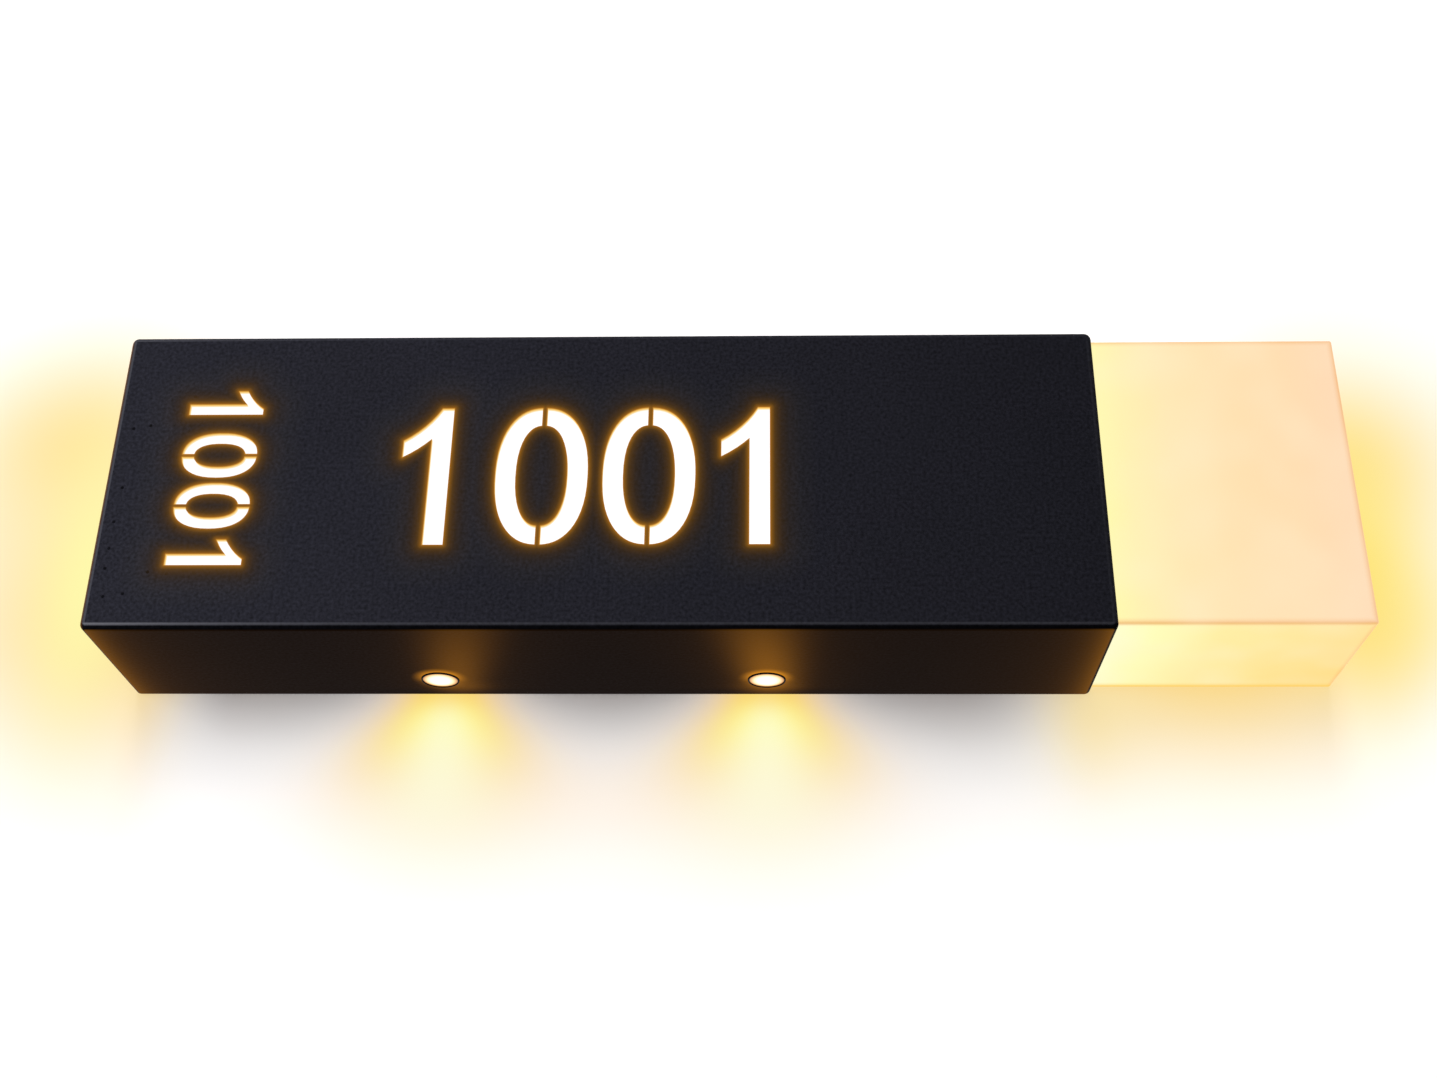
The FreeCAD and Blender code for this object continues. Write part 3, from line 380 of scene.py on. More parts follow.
def repeating_tree():
    """Geometry Nodes tree that sets a pattern on every point, turns it, spins it at random about its own
    axis, and gives the joined mesh one finish."""
    tree = bpy.data.node_groups.new("pattern_on_points", "GeometryNodeTree")
    for name, kind in (("Points", "Geometry"), ("Pattern", "Object"), ("Turn", "Vector"), ("Spin", "Float"),
                       ("Seed", "Int"), ("Finish", "Material")):
        tree.interface.new_socket(name=name, in_out="INPUT", socket_type="NodeSocket" + kind)
    tree.interface.new_socket(name="Mesh", in_out="OUTPUT", socket_type="NodeSocketGeometry")
    given = add(tree, "NodeGroupInput").outputs
    pattern = add(tree, "GeometryNodeObjectInfo", {"Object": given["Pattern"]}, transform_space="ORIGINAL")
    copies = add(tree, "GeometryNodeInstanceOnPoints", {
        "Points": given["Points"], "Instance": pattern.outputs["Geometry"],
        "Rotation": add(tree, "FunctionNodeEulerToRotation", given["Turn"])})
    least = add(tree, "Math", given["Spin"], -1.0, operation="MULTIPLY")
    spin = add(tree, "FunctionNodeRandomValue", {"Min": least, "Max": given["Spin"], "Seed": given["Seed"]},
               data_type="FLOAT")
    about = add(tree, "FunctionNodeEulerToRotation", add(tree, "CombineXYZ", {"Z": spin}))
    spun = add(tree, "GeometryNodeRotateInstances", {"Instances": copies, "Rotation": about})
    whole = add(tree, "GeometryNodeRealizeInstances", spun)
    dressed = add(tree, "GeometryNodeSetMaterial", {"Geometry": whole, "Material": given["Finish"]})
    add(tree, "NodeGroupOutput", dressed)
    return tree


def repeated_piece(name, node, pattern, places, turn, material, body="cover", spin=0.0,
                   seed=1):
    """Piece with a pattern's mesh at every place, turned, and spun by up to an angle about its own axis."""
    tree = bpy.data.node_groups.get("pattern_on_points") or repeating_tree()
    points = bpy.data.meshes.new(name)
    points.from_pydata(places, [], [])
    holder, model = bpy.data.objects.new(name, points), bpy.data.objects.new(name + "_pattern", pattern)
    for thing in (holder, model):
        bpy.context.scene.collection.objects.link(thing)
    modifier = holder.modifiers.new("pattern_on_points", "NODES")
    modifier.node_group = tree
    given = {"Pattern": model, "Turn": turn, "Spin": spin, "Seed": seed, "Finish": material}
    for item in tree.interface.items_tree:
        if item.name in given:
            modifier[item.identifier] = given[item.name]
    mesh = evaluated_mesh(holder)
    mesh.name = name
    bpy.data.objects.remove(model)
    new_piece(name, mesh, material, body, node)


# Shell

# Share of a glow that is left one length out
faded = 1 / math.e


def halo_colour(tree, distance):
    """Warm light that the cut digits throw on the black round them, by the distance in millimetres."""
    start, reach = -1.5, 16.0
    stops = [(-1.5, "#FFF3D0"), (-0.7, "#FBD07A"), (-0.05, "#D89A34"), (0.12, "#AA6E1E"), (0.35, "#8A5810"),
             (0.8, "#704808"), (1.5, "#4E3306"), (2.3, "#3E2804"), (3.6, "#2A1B03"), (5.5, "#1A1102"),
             (9.0, "#0A0701"), (14.4, "#000000")]
    share = add(tree, "MapRange", distance, start, start + reach)
    return add(tree, "ValToRGB", share, stops=[((place - start) / reach, colour) for place, colour in stops])


def distance_beside(tree, axes, low, high):
    """Distance from a point to a rectangle that lies in the plane of two axes."""
    total = 0.0
    for axis, least, most in zip(axes, low, high):
        below = add(tree, "Math", least, axis, operation="SUBTRACT")
        above = add(tree, "Math", axis, most, operation="SUBTRACT")
        out = add(tree, "Math", below, above, operation="MAXIMUM")
        out = add(tree, "Math", out, 0.0, operation="MAXIMUM")
        total = add(tree, "Math", out, out, total, operation="MULTIPLY_ADD")
    return add(tree, "Math", total, operation="SQRT")


def downlight_glow(tree, x, y, place, lean, aside, share):
    """Warm fan that a downlight throws on the underside towards the front, and its glow beside the lens.
    Behind the lens the fan falls to a quarter, and round its narrow core lies a faint skirt."""
    front_reach, first_width, last_width = 39 * mm, 7.5 * mm, 11 * mm
    first_strength, last_strength = 0.23, 0.1
    skirt_strength, skirt_fall = 0.1, 0.16
    lens_edge, near_reach = 5.6 * mm, 9.5 * mm
    ahead = add(tree, "Math", place.y, y, operation="SUBTRACT")
    to_front = add(tree, "MapRange", ahead, 0.0, front_reach)
    forward = add(tree, "Math", ahead, 0.0, operation="MAXIMUM")
    middle = add(tree, "Math", forward, lean, place.x + aside * mm, operation="MULTIPLY_ADD")
    across = add(tree, "Math", x, middle, operation="SUBTRACT")
    width = add(tree, "MapRange", to_front, 0.0, 1.0, first_width, last_width)
    ratio = add(tree, "Math", across, width, operation="DIVIDE")
    squared = add(tree, "Math", ratio, ratio, operation="MULTIPLY")
    core = add(tree, "Math", faded, squared, operation="POWER")
    wider = add(tree, "Math", squared, skirt_fall, operation="MULTIPLY")
    skirt = add(tree, "Math", faded, wider, operation="POWER")
    fan = add(tree, "Math", skirt, skirt_strength, core, operation="MULTIPLY_ADD")
    strength = add(tree, "MapRange", to_front, 0.0, 1.0, first_strength, last_strength)
    behind = add(tree, "MapRange", ahead, -12 * mm, -5 * mm, 0.25, 1.0, interpolation_type="SMOOTHSTEP")
    for part in (strength, behind, share):
        fan = add(tree, "Math", fan, part, operation="MULTIPLY")
    beside = add(tree, "Math", x, place.x, operation="SUBTRACT")
    away = add(tree, "VectorMath", add(tree, "CombineXYZ", beside, ahead), operation="LENGTH")
    near = add(tree, "MapRange", away, lens_edge, near_reach, 1.0, 0.0)
    near = add(tree, "Math", near, 2.0, operation="POWER")
    front_side = add(tree, "MapRange", ahead, -2 * mm, 5 * mm, 0.1, 0.6)
    return add(tree, "Math", near, front_side, fan, operation="MULTIPLY_ADD")


def powder_coat(colours, sizes):
    """Polyester powder coat baked on sheet steel: deep black with a blue cast, satin, with an orange peel of
    about half a millimetre, drawn twice as coarse so that it shows, and a few tiny specks near its left end.
    The lamps' warm light lies on it round the digits, on the underside and at both ends."""
    material, tree, shader = finish(
        "black_powder_coat", colours.coat, colours.coat_peel, grain=1.0, relief=0.08, roughness=0.45,
        spread=0.01, patchy=0.12, Specular_IOR_Level=0.003, Emission_Strength=1.0)
    point = add(tree, "TexCoord").outputs
    x, y, z = add(tree, "SeparateXYZ", point["Object"]).outputs
    facing_x, facing_y, facing_z = add(tree, "SeparateXYZ", point["Normal"]).outputs
    distance = add(tree, "Attribute", attribute_name="digit_distance").outputs["Fac"]

    # A face that looks down has -1 for its Z, and one that looks to the front has -1 for its Y
    below = add(tree, "MapRange", facing_z, -0.85, -0.995, interpolation_type="SMOOTHSTEP")

    # Painted highlight along the front bends, strongest at the left, and painted shade on the darker side of
    # the lower bend
    all_along, more_at_left = 0.13, 0.85
    leftness = add(tree, "MapRange", x, shell_high.x, shell_low.x)
    leftness = add(tree, "Math", leftness, 7.0, operation="POWER")
    lower_bend = add(tree, "MapRange", facing_z, -0.05, -0.25)
    painted_bend_highlight = add(tree, "Math", leftness, more_at_left, all_along, operation="MULTIPLY_ADD")
    for part in (add(tree, "MapRange", facing_y, -0.998, -0.985),
                 add(tree, "MapRange", facing_y, -0.84, -0.93),
                 add(tree, "MapRange", lower_bend, 0.0, 1.0, 0.3, 1.0)):
        painted_bend_highlight = add(tree, "Math", painted_bend_highlight, part, operation="MULTIPLY")
    painted_bend_shade = add(tree, "Math", lower_bend, 0.75, operation="MULTIPLY")
    for part in (add(tree, "MapRange", facing_y, -0.94, -0.8), add(tree, "MapRange", facing_y, -0.03, -0.15)):
        painted_bend_shade = add(tree, "Math", painted_bend_shade, part, operation="MULTIPLY")

    # Raised specks about a millimetre across, in one cell of five at the front's left end
    cell_size, speck_height = 6 * mm, 3.0
    cells = add(tree, "TexVoronoi", {"Vector": add(tree, "CombineXYZ", x, z), "Scale": 1 / cell_size},
                voronoi_dimensions="2D").outputs
    speck = add(tree, "MapRange", cells["Distance"], 0.095, 0.055)
    for part in (add(tree, "MapRange", add(tree, "SeparateColor", cells["Color"]), 0.8, 0.82),
                 add(tree, "MapRange", x, -128 * mm, -124 * mm, 1.0, 0.0),
                 add(tree, "MapRange", facing_y, -0.9, -0.99)):
        speck = add(tree, "Math", speck, part, operation="MULTIPLY")
    height = source(shader.inputs["Normal"]).node.inputs["Height"]
    feed(tree, height, add(tree, "Math", speck, speck_height, source(height), operation="MULTIPLY_ADD"))

    # Shares and colours laid over the coat, from painted shade that darkens it towards the right to the
    # painted highlight on the bends
    plain = source(shader.inputs["Base Color"])
    for share, colour in (
            # painted shade: the coat darker towards the right end
            (add(tree, "MapRange", x, shell_low.x, shell_high.x, 0.0, 0.5), "#000000"),
            # painted shade: the underside darker than the front
            (add(tree, "Math", below, 0.42, operation="MULTIPLY"), "#000000"),
            # painted shade on the lower bend
            (painted_bend_shade, "#000000"),
            # part of the painted glow round the digits: a darker, warmer base near their edges
            (add(tree, "MapRange", distance, 0.0, 7.0, 0.85, 0.0), "#0E0C08"),
            (add(tree, "Math", speck, 0.8, operation="MULTIPLY"), "#060607"),
            # painted highlight along the front bends
            (painted_bend_highlight, "#707078")):
        plain = add(tree, "Mix", share, plain, linear(colour), data_type="RGBA")
    feed(tree, shader.inputs["Base Color"], plain)

    # Light on the underside: a little all over, the downlights' fans, and a fall from both ends.
    # Each fan has its lean, its shift aside in millimetres and its strength
    glow = 0.006
    fans = ((sizes.left_fan_lean, 4.8, 0.6), (sizes.right_fan_lean, 1.0, 0.95))
    for place, (lean, aside, share) in zip(spot_places, fans):
        fan = downlight_glow(tree, x, y, place, lean, aside, share)
        glow = add(tree, "Math", glow, fan, operation="ADD")
    for end in (shell_low.x, shell_high.x):
        inward = add(tree, "Math", add(tree, "Math", x, end, operation="SUBTRACT"), operation="ABSOLUTE")
        for reach, strength in ((3.6, 0.20), (16, 0.035)):
            lengths = add(tree, "Math", inward, reach * mm, operation="DIVIDE")
            fall = add(tree, "Math", faded, lengths, operation="POWER")
            glow = add(tree, "Math", fall, strength, glow, operation="MULTIPLY_ADD")
    glow = add(tree, "Math", glow, below, operation="MULTIPLY")

    # Light on the left end, round its window and along its front and lower corners
    window_reach, window_glow, corner_glow = 9 * mm, 0.02, 0.16
    left_rim = add(tree, "MapRange", facing_x, -0.35, -0.9, interpolation_type="SMOOTHSTEP")
    window_low, window_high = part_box("left_window")
    beside = distance_beside(tree, (y, z), window_low.yz, window_high.yz)
    round_window = add(tree, "MapRange", beside, 0.0, window_reach, window_glow, 0.0,
                       interpolation_type="SMOOTHSTEP")
    corner = add(tree, "Math", add(tree, "MapRange", facing_y, -0.12, -0.5),
                 add(tree, "MapRange", facing_z, -0.12, -0.5), operation="MAXIMUM")
    rim = add(tree, "Math", corner, corner_glow, round_window, operation="MULTIPLY_ADD")
    glow = add(tree, "Math", rim, left_rim, glow, operation="MULTIPLY_ADD")
    warm = add(tree, "VectorMath", colours.lamp_warmth, glow, operation="SCALE")
    lit = add(tree, "VectorMath", halo_colour(tree, distance), warm, operation="ADD")
    feed(tree, shader.inputs["Emission Color"], lit)
    return material


def inside_outline(points, starts, ends):
    """Which points lie inside closed outlines, by counting the edges to their right."""
    inside = np.zeros(len(points), bool)
    for a, b in zip(starts, ends):
        spans = (a[1] > points[:, 1]) != (b[1] > points[:, 1])
        if not spans.any():
            continue
        crossing = a[0] + (points[:, 1] - a[1]) / (b[1] - a[1]) * (b[0] - a[0])
        inside ^= spans & (points[:, 0] < crossing)
    return inside


def outline_distance(points, starts, ends):
    """Shortest distance from each point to a set of edges."""
    nearest = np.full(len(points), np.inf)
    for a, b in zip(starts, ends):
        run = b - a
        share = np.clip(((points - a) @ run) / (run @ run), 0, 1)
        nearest = np.minimum(nearest, np.linalg.norm(points - a - share[:, None] * run, axis=1))
    return nearest


def grid(low, high, step):
    """Points of an even grid between two corners."""
    across, up = (np.arange(low[i] + step / 2, high[i], step) for i in (0, 1))
    return np.stack(np.meshgrid(across, up), -1).reshape(-1, 2)


def remesh_front(work):
    """Give the shell's front an even fine mesh, closer round the digits, and return the digits' edges."""
    front, flatness, at_border, rim_gap = shell_low.y, 0.003 * mm, 0.01 * mm, 0.8 * mm
    flat = [face for face in work.faces
            if face.normal.y < -0.999 and all(abs(v.co.y - front) < flatness for v in face.verts)]
    chosen = set(flat)
    border = [e for e in work.edges if sum(f in chosen for f in e.link_faces) == 1]
    corners = list({v for e in border for v in e.verts})
    number = {v: i for i, v in enumerate(corners)}
    flat_corners = np.array([(v.co.x, v.co.z) for v in corners])
    pairs = [(number[e.verts[0]], number[e.verts[1]]) for e in border]
    starts, ends = flat_corners[[a for a, _ in pairs]], flat_corners[[b for _, b in pairs]]
    low, high = flat_corners.min(0), flat_corners.max(0)
    outer = np.ones(len(pairs), bool)
    for tips in (starts, ends):
        outer &= (np.abs(tips - low).min(1) < at_border) | (np.abs(tips - high).min(1) < at_border)
    digit_starts, digit_ends = starts[~outer], ends[~outer]
    added = []
    # Spacing of the points, and the distances from the digits between which it holds, in millimetres
    for step, nearest, furthest in ((0.5, 0.3, 2.3), (1.1, 2.3, 9), (3.5, 9, 1000)):
        points = grid(low, high, step * mm)
        points = points[inside_outline(points, starts, ends)]
        away = outline_distance(points, digit_starts, digit_ends)
        points = points[(away > nearest * mm) & (away <= furthest * mm)]
        rim = np.minimum(points - low, high - points).min(1)
        added.append(points[rim > rim_gap])
    every = np.concatenate([flat_corners, *added])
    places, _, faces, origin, _, _ = geometry.delaunay_2d_cdt(
        [Vector(p) for p in every], pairs, [], 0, 1e-7, True)
    bmesh.ops.delete(work, geom=flat, context="FACES")
    corners = {i: v for v, i in number.items() if v.is_valid}
    made = []
    for place, sources in zip(places, origin):
        known = next((corners[i] for i in sources if i in corners), None)
        made.append(known or work.verts.new((place.x, front, place.y)))
    centres = np.array([np.mean([places[i] for i in face], axis=0) for face in faces])
    for face, kept in zip(faces, inside_outline(centres, starts, ends)):
        if kept:
            new = work.faces.new([made[i] for i in face])
            if new.normal.y > 0:
                new.normal_flip()
    work.normal_update()
    for face in work.faces:
        if face.normal.y > 0.999 and all(abs(v.co.y - front) < 0.001 * mm for v in face.verts):
            face.normal_flip()
    return digit_starts, digit_ends


def mark_distance(mesh, starts, ends):
    """Store each point's distance from the digits' edges, in millimetres, negative down their cut walls."""
    far_off, on_skin, wall_depth = 100.0, 0.003 * mm, 1.6 * mm
    places = np.array([v.co for v in mesh.vertices])
    flat = places[:, [X, Z]]
    depth = places[:, Y] - shell_low.y
    away = np.full(len(places), far_off)
    on_front = depth < on_skin
    away[on_front] = outline_distance(flat[on_front], starts, ends) / mm
    shallow = (depth >= on_skin) & (depth < wall_depth)
    on_wall = np.zeros(len(places), bool)
    on_wall[shallow] = outline_distance(flat[shallow], starts, ends) < 0.05 * mm
    away[on_wall] = -depth[on_wall] / mm
    layer = mesh.attributes.new("digit_distance", "FLOAT", "POINT")
    layer.data.foreach_set("value", away.astype(np.float32))


# Acrylic

def edge_distance(tree, axes, low, high):
    """Distance to the nearest edge of a box from a point on its skin: the middle one of its distances to
    the box's sides along X, Y and Z."""
    outs = []
    for axis, least, most in zip(axes, low, high):
        to_low = add(tree, "Math", axis, least, operation="SUBTRACT")
        to_high = add(tree, "Math", most, axis, operation="SUBTRACT")
        nearer = add(tree, "Math", to_low, to_high, operation="MINIMUM")
        outs.append(add(tree, "Math", nearer, operation="ABSOLUTE"))
    a, b, c = outs
    inner = add(tree, "Math", add(tree, "Math", a, b, operation="MAXIMUM"), c, operation="MINIMUM")
    return add(tree, "Math", add(tree, "Math", a, b, operation="MINIMUM"), inner, operation="MAXIMUM")


def frosted_block(colours, sizes):
    """Cast acrylic with a frosted skin, lit from its shell end: warm yellow there, peach further out, and
    deeper along its edges, where the sheet is seen edge on."""
    material, tree, shader = finish(
        "frosted_acrylic_block", "#2A2420", "#302A24", grain=0.5, relief=0.006, roughness=0.42, spread=0.04,
        Specular_IOR_Level=0.3, IOR=1.49, Emission_Strength=0.97)
    point = add(tree, "TexCoord").outputs
    x, y, z = add(tree, "SeparateXYZ", point["Object"]).outputs
    facing_x, facing_y, facing_z = add(tree, "SeparateXYZ", point["Normal"]).outputs
    along = add(tree, "MapRange", x, shell_high.x, block_high.x)
    lit = add(tree, "ValToRGB", along, stops=[
        (0, "#FDF3A4"), (0.1, "#FCEBA8"), (0.28, "#FCE2AA"), (0.5, "#FBDCA8"), (0.75, "#FCD8A8"),
        (1, "#FAD6B0")])
    under = add(tree, "ValToRGB", along, stops=[
        (0, "#FDFAC4"), (0.15, "#FCF8AE"), (0.4, "#FBE898"), (0.7, "#FBE08E"), (1, "#FBDA86")])
    below = add(tree, "MapRange", facing_z, -0.4, -0.9)
    rearward = add(tree, "MapRange", y, -38 * mm, -2 * mm)
    deeper = add(tree, "Math", below, rearward, operation="MULTIPLY")
    outward = add(tree, "MapRange", along, 0.0, 1.0, 0.06, 0.32)
    deeper = add(tree, "Math", deeper, outward, operation="MULTIPLY")
    edge = edge_distance(tree, (x, y, z), block_low, block_high)
    edge_share = add(tree, "MapRange", edge, 0.0, sizes.block_edge, 1.0, 0.0)
    edge_share = add(tree, "Math", edge_share, 1.6, operation="POWER")
    end_face = add(tree, "MapRange", facing_x, 0.5, 0.95)
    end_middle = add(tree, "MapRange", edge, 0.0, 24 * mm, 0.0, 0.45)
    cloud = add(tree, "TexNoise", {"Vector": point["Object"], "Scale": 1 / (22 * mm), "Detail": 1.0})
    wall_side = add(tree, "Math", add(tree, "MapRange", y, -5 * mm, -1.2 * mm), 2.0, operation="POWER")
    off_rear = add(tree, "MapRange", facing_y, 0.7, 0.95, 1.0, 0.15)
    for share, colour in (
            (below, under),
            (deeper, linear(colours.block_gold)),
            (add(tree, "Math", edge_share, 0.85, operation="MULTIPLY"), linear("#ECA654")),
            (add(tree, "Math", end_face, end_middle, operation="MULTIPLY"), linear("#FFEBCB")),
            (add(tree, "MapRange", cloud, 0.35, 0.7, 0.0, 0.24), linear("#FFEECE")),
            (add(tree, "Math", wall_side, off_rear, operation="MULTIPLY"), linear(colours.block_gold))):
        lit = add(tree, "Mix", share, lit, colour, data_type="RGBA")
    feed(tree, shader.inputs["Emission Color"], lit)
    return material


def lit_panel(name, node, colour, rim_colour, fade):
    """Opal acrylic sheet lit from behind: even and bright, a little warmer towards its rim."""
    material, tree, shader = finish(name, "#2C2A28", "#343230", grain=0.5, relief=0.005, roughness=0.38,
                                    spread=0.04, Specular_IOR_Level=0.3, IOR=1.49, Emission_Strength=1.0)
    axes = add(tree, "SeparateXYZ", add(tree, "TexCoord").outputs["Object"]).outputs
    rim, thickest = 1.0, 12 * mm
    for axis, low, high in zip(axes, *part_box(node)):
        if high - low > thickest:
            for gap in (add(tree, "Math", axis, low, operation="SUBTRACT"),
                        add(tree, "Math", high, axis, operation="SUBTRACT")):
                rim = add(tree, "Math", rim, gap, operation="MINIMUM")
    share = add(tree, "MapRange", rim, 0.0, fade, 1.0, 0.0, interpolation_type="SMOOTHSTEP")
    lit = add(tree, "Mix", share, linear(colour), linear(rim_colour), data_type="RGBA")
    feed(tree, shader.inputs["Emission Color"], lit)
    return material


def lens_acrylic(place, radius):
    """Clear acrylic lens over the lit cone: white in its middle, yellow then orange towards its rim."""
    material, tree, shader = finish("lit_clear_lens", "#1C1712", "#241C14", grain=0.8, relief=0.004,
                                    roughness=0.12, spread=0.03, IOR=1.49, Emission_Strength=1.0)
    x, y, _ = add(tree, "SeparateXYZ", add(tree, "TexCoord").outputs["Object"]).outputs
    offset = add(tree, "CombineXYZ", add(tree, "Math", x, place.x, operation="SUBTRACT"),
                 add(tree, "Math", y, place.y, operation="SUBTRACT"))
    share = add(tree, "MapRange", add(tree, "VectorMath", offset, operation="LENGTH"), 0.0, radius * mm)
    lit = add(tree, "ValToRGB", share, stops=[
        (0, "#FEFEF8"), (0.55, "#FFFDF0"), (0.7, "#FEF4C6"), (0.8, "#FADC98"), (0.88, "#EDB468"),
        (0.95, "#D08C3C"), (1, "#8A5416")])
    feed(tree, shader.inputs["Emission Color"], lit)
    return material


# Metals

def anodised_black():
    """Black anodised aluminium of the downlights: near black, satin, turned fine and even."""
    return finish("black_anodised_aluminium", "#0B0B0B", "#131312", grain=0.25, relief=0.003, roughness=0.42,
                  Specular_IOR_Level=0.03)[0]


def zinc_plate():
    """Zinc-plated steel, clear passivated: pale silver with a faint blue and yellow tinge in soft clouds,
    and fine rolling lines under the plate."""
    known = bpy.data.materials.get("zinc_plated_steel")
    if known:
        return known
    material, tree, shader = finish("zinc_plated_steel", "#B4B8BC", "#A2A8AE", grain=0.7, relief=0.002,
                                    roughness=0.36, spread=0.07, Metallic=1.0)
    place = add(tree, "TexCoord").outputs["Object"]
    tint = add(tree, "TexNoise", {"Vector": place, "Scale": 1 / (26 * mm), "Detail": 1.5})
    tinge = add(tree, "Mix", add(tree, "MapRange", tint, 0.35, 0.65), linear("#AAB4C2"), linear("#C0BCA4"),
                data_type="RGBA")
    base = shader.inputs["Base Color"]
    feed(tree, base, add(tree, "Mix", 0.35, source(base), tinge, data_type="RGBA"))
    # Lines 14 mm long and 0.35 mm apart, a few times coarser than real ones so that they show
    along, across = 1 / (14 * mm), 1 / (0.35 * mm)
    rolled = add(tree, "Mapping", {"Vector": place, "Scale": (along, across, across)})
    lines = add(tree, "TexNoise", {"Vector": rolled, "Scale": 1.0, "Detail": 2.0})
    bump = source(shader.inputs["Normal"]).node.inputs["Height"]
    feed(tree, bump, add(tree, "Math", source(bump), lines, operation="ADD"))
    return material


def dipped_brass():
    """Bright-dipped brass of the earth point: warm yellow, satin, a little darker in its grain."""
    return finish("bright_dipped_brass", "#D2AC5C", "#BC9046", grain=0.4, relief=0.002, roughness=0.3,
                  Metallic=1.0)[0]


def blackened_steel():
    """Black-oxide steel of the cover screws: near black, oily satin."""
    return finish("black_oxide_steel", "#17171A", "#222225", grain=0.3, relief=0.003, roughness=0.36,
                  Metallic=0.6, Specular_IOR_Level=0.3)[0]


# Plastics and boards

def moulded_white():
    """Moulded white ABS of the driver and splitter: satin with a fine spark-eroded grain."""
    return finish("moulded_white_abs", "#E3E2DE", "#DEDDD8", grain=0.3, relief=0.014, roughness=0.46)[0]


def moulded_grey():
    """Moulded grey polyamide of the connector and bushing: matt, faintly mottled."""
    return finish("moulded_grey_polyamide", "#92969A", "#84888C", grain=0.3, relief=0.01, roughness=0.5)[0]


def lever_polycarbonate(colours):
    """Moulded orange polycarbonate of the levers, glossy, with grip ridges across each free end."""
    material, tree, shader = finish("moulded_orange_polycarbonate", colours.levers, "#DE6818", grain=0.4,
                                    relief=0.006, roughness=0.3, IOR=1.58)
    ridge_pitch, grip_length, ridge_height = 1.1 * mm, 6 * mm, 0.05 * mm
    _, _, z = add(tree, "SeparateXYZ", add(tree, "TexCoord").outputs["Object"]).outputs
    ridges = add(tree, "Math", z, 2 * math.pi / ridge_pitch, operation="MULTIPLY")
    ridges = add(tree, "Math", ridges, operation="SINE")
    grip_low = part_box("lever_live")[1].z - grip_length
    on_grip = add(tree, "MapRange", z, grip_low, grip_low + 0.4 * mm)
    bump = source(shader.inputs["Normal"]).node.inputs
    bump["Distance"].default_value = ridge_height
    grain = add(tree, "Math", source(bump["Height"]), 0.12, operation="MULTIPLY")
    feed(tree, bump["Height"], add(tree, "Math", ridges, on_grip, grain, operation="MULTIPLY_ADD"))
    return material


def open_foam():
    """Black adhesive foam under the driver: matt, with small open cells."""
    material, tree, shader = finish("black_foam_tape", "#1A1A1A", "#262626", grain=0.5, relief=0.2,
                                    roughness=0.92, Specular_IOR_Level=0.1)
    place = add(tree, "TexCoord").outputs["Object"]
    cells = add(tree, "TexVoronoi", {"Vector": place, "Scale": 1 / (0.6 * mm)})
    feed(tree, source(shader.inputs["Normal"]).node.inputs["Height"], cells)
    return material


def pvc_sleeve(name, colour, other):
    """Extruded PVC of a lead: even in colour, smooth, with a soft shine."""
    return finish(name, colour, other, grain=0.4, relief=0.01, roughness=0.36)


def striped_pvc():
    """Extruded green PVC of the earth lead, with a yellow stripe along each side."""
    material, tree, shader = pvc_sleeve("green_yellow_pvc", "#2E8A3A", "#287E34")
    lean = add(tree, "VectorMath", add(tree, "TexCoord").outputs["Normal"], (0.55, 0.6, 0.58),
               operation="DOT_PRODUCT")
    stripe = add(tree, "MapRange", add(tree, "Math", lean, operation="ABSOLUTE"), 0.4, 0.34)
    base = shader.inputs["Base Color"]
    feed(tree, base, add(tree, "Mix", stripe, source(base), linear("#E2CE2C"), data_type="RGBA"))
    return material


def white_enamel():
    """White powder enamel of the tray and reflectors: bright, satin, with a soft orange peel."""
    return finish("white_enamelled_sheet", "#E5E4E0", "#E0DFDA", grain=0.6, relief=0.02, roughness=0.42)[0]


def solder_mask():
    """White solder mask over the boards' copper, whose tracks show as faint raised fields."""
    material, tree, shader = finish("white_solder_mask", "#E8EAE6", "#DADDD7", grain=0.5, relief=0.01,
                                    roughness=0.34)
    x, y, z = add(tree, "SeparateXYZ", add(tree, "TexCoord").outputs["Object"]).outputs
    across = add(tree, "CombineXYZ", add(tree, "Math", x, y, operation="ADD"), z)
    tracks = add(tree, "TexBrick", {
        "Vector": across, "Color1": linear("#FFFFFF"), "Color2": linear("#F0F2EE"),
        "Mortar": linear("#C4C9BE"), "Scale": 1 / (14 * mm), "Mortar Size": 0.012, "Mortar Smooth": 0.2,
        "Brick Width": 0.5, "Row Height": 0.25})
    base = shader.inputs["Base Color"]
    feed(tree, base, add(tree, "Mix", 1.0, source(base), tracks, data_type="RGBA", blend_type="MULTIPLY"))
    return material


def chip_package_plastic():
    """Moulded white polyphthalamide frame of the light chips: pale and even, satin."""
    return finish("white_chip_package", "#EDEDE8", "#E2E2DC", grain=0.15, relief=0.004, roughness=0.4)[0]


def phosphor_silicone():
    """Yellow phosphor in clear silicone, cast into the chips: deep yellow, fine grained, a little glossy."""
    return finish("chip_phosphor_silicone", "#F0CE42", "#E4BA30", grain=0.12, relief=0.006, roughness=0.34)[0]


def box_mesh(name, low, high, top_inset):
    """Block between two corners in millimetres, its top drawn in by an inset."""
    work = bmesh.new()
    corners = []
    for up, inset in ((low[Z], 0.0), (high[Z], top_inset)):
        left, right = low[X] + inset, high[X] - inset
        front, rear = low[Y] + inset, high[Y] - inset
        for x, y in ((left, front), (right, front), (right, rear), (left, rear)):
            corners.append(work.verts.new((x * mm, y * mm, up * mm)))
    for face in ((3, 2, 1, 0), (4, 5, 6, 7), (0, 1, 5, 4), (1, 2, 6, 5), (2, 3, 7, 6), (3, 0, 4, 7)):
        work.faces.new([corners[i] for i in face])
    return finished_mesh(name, work)


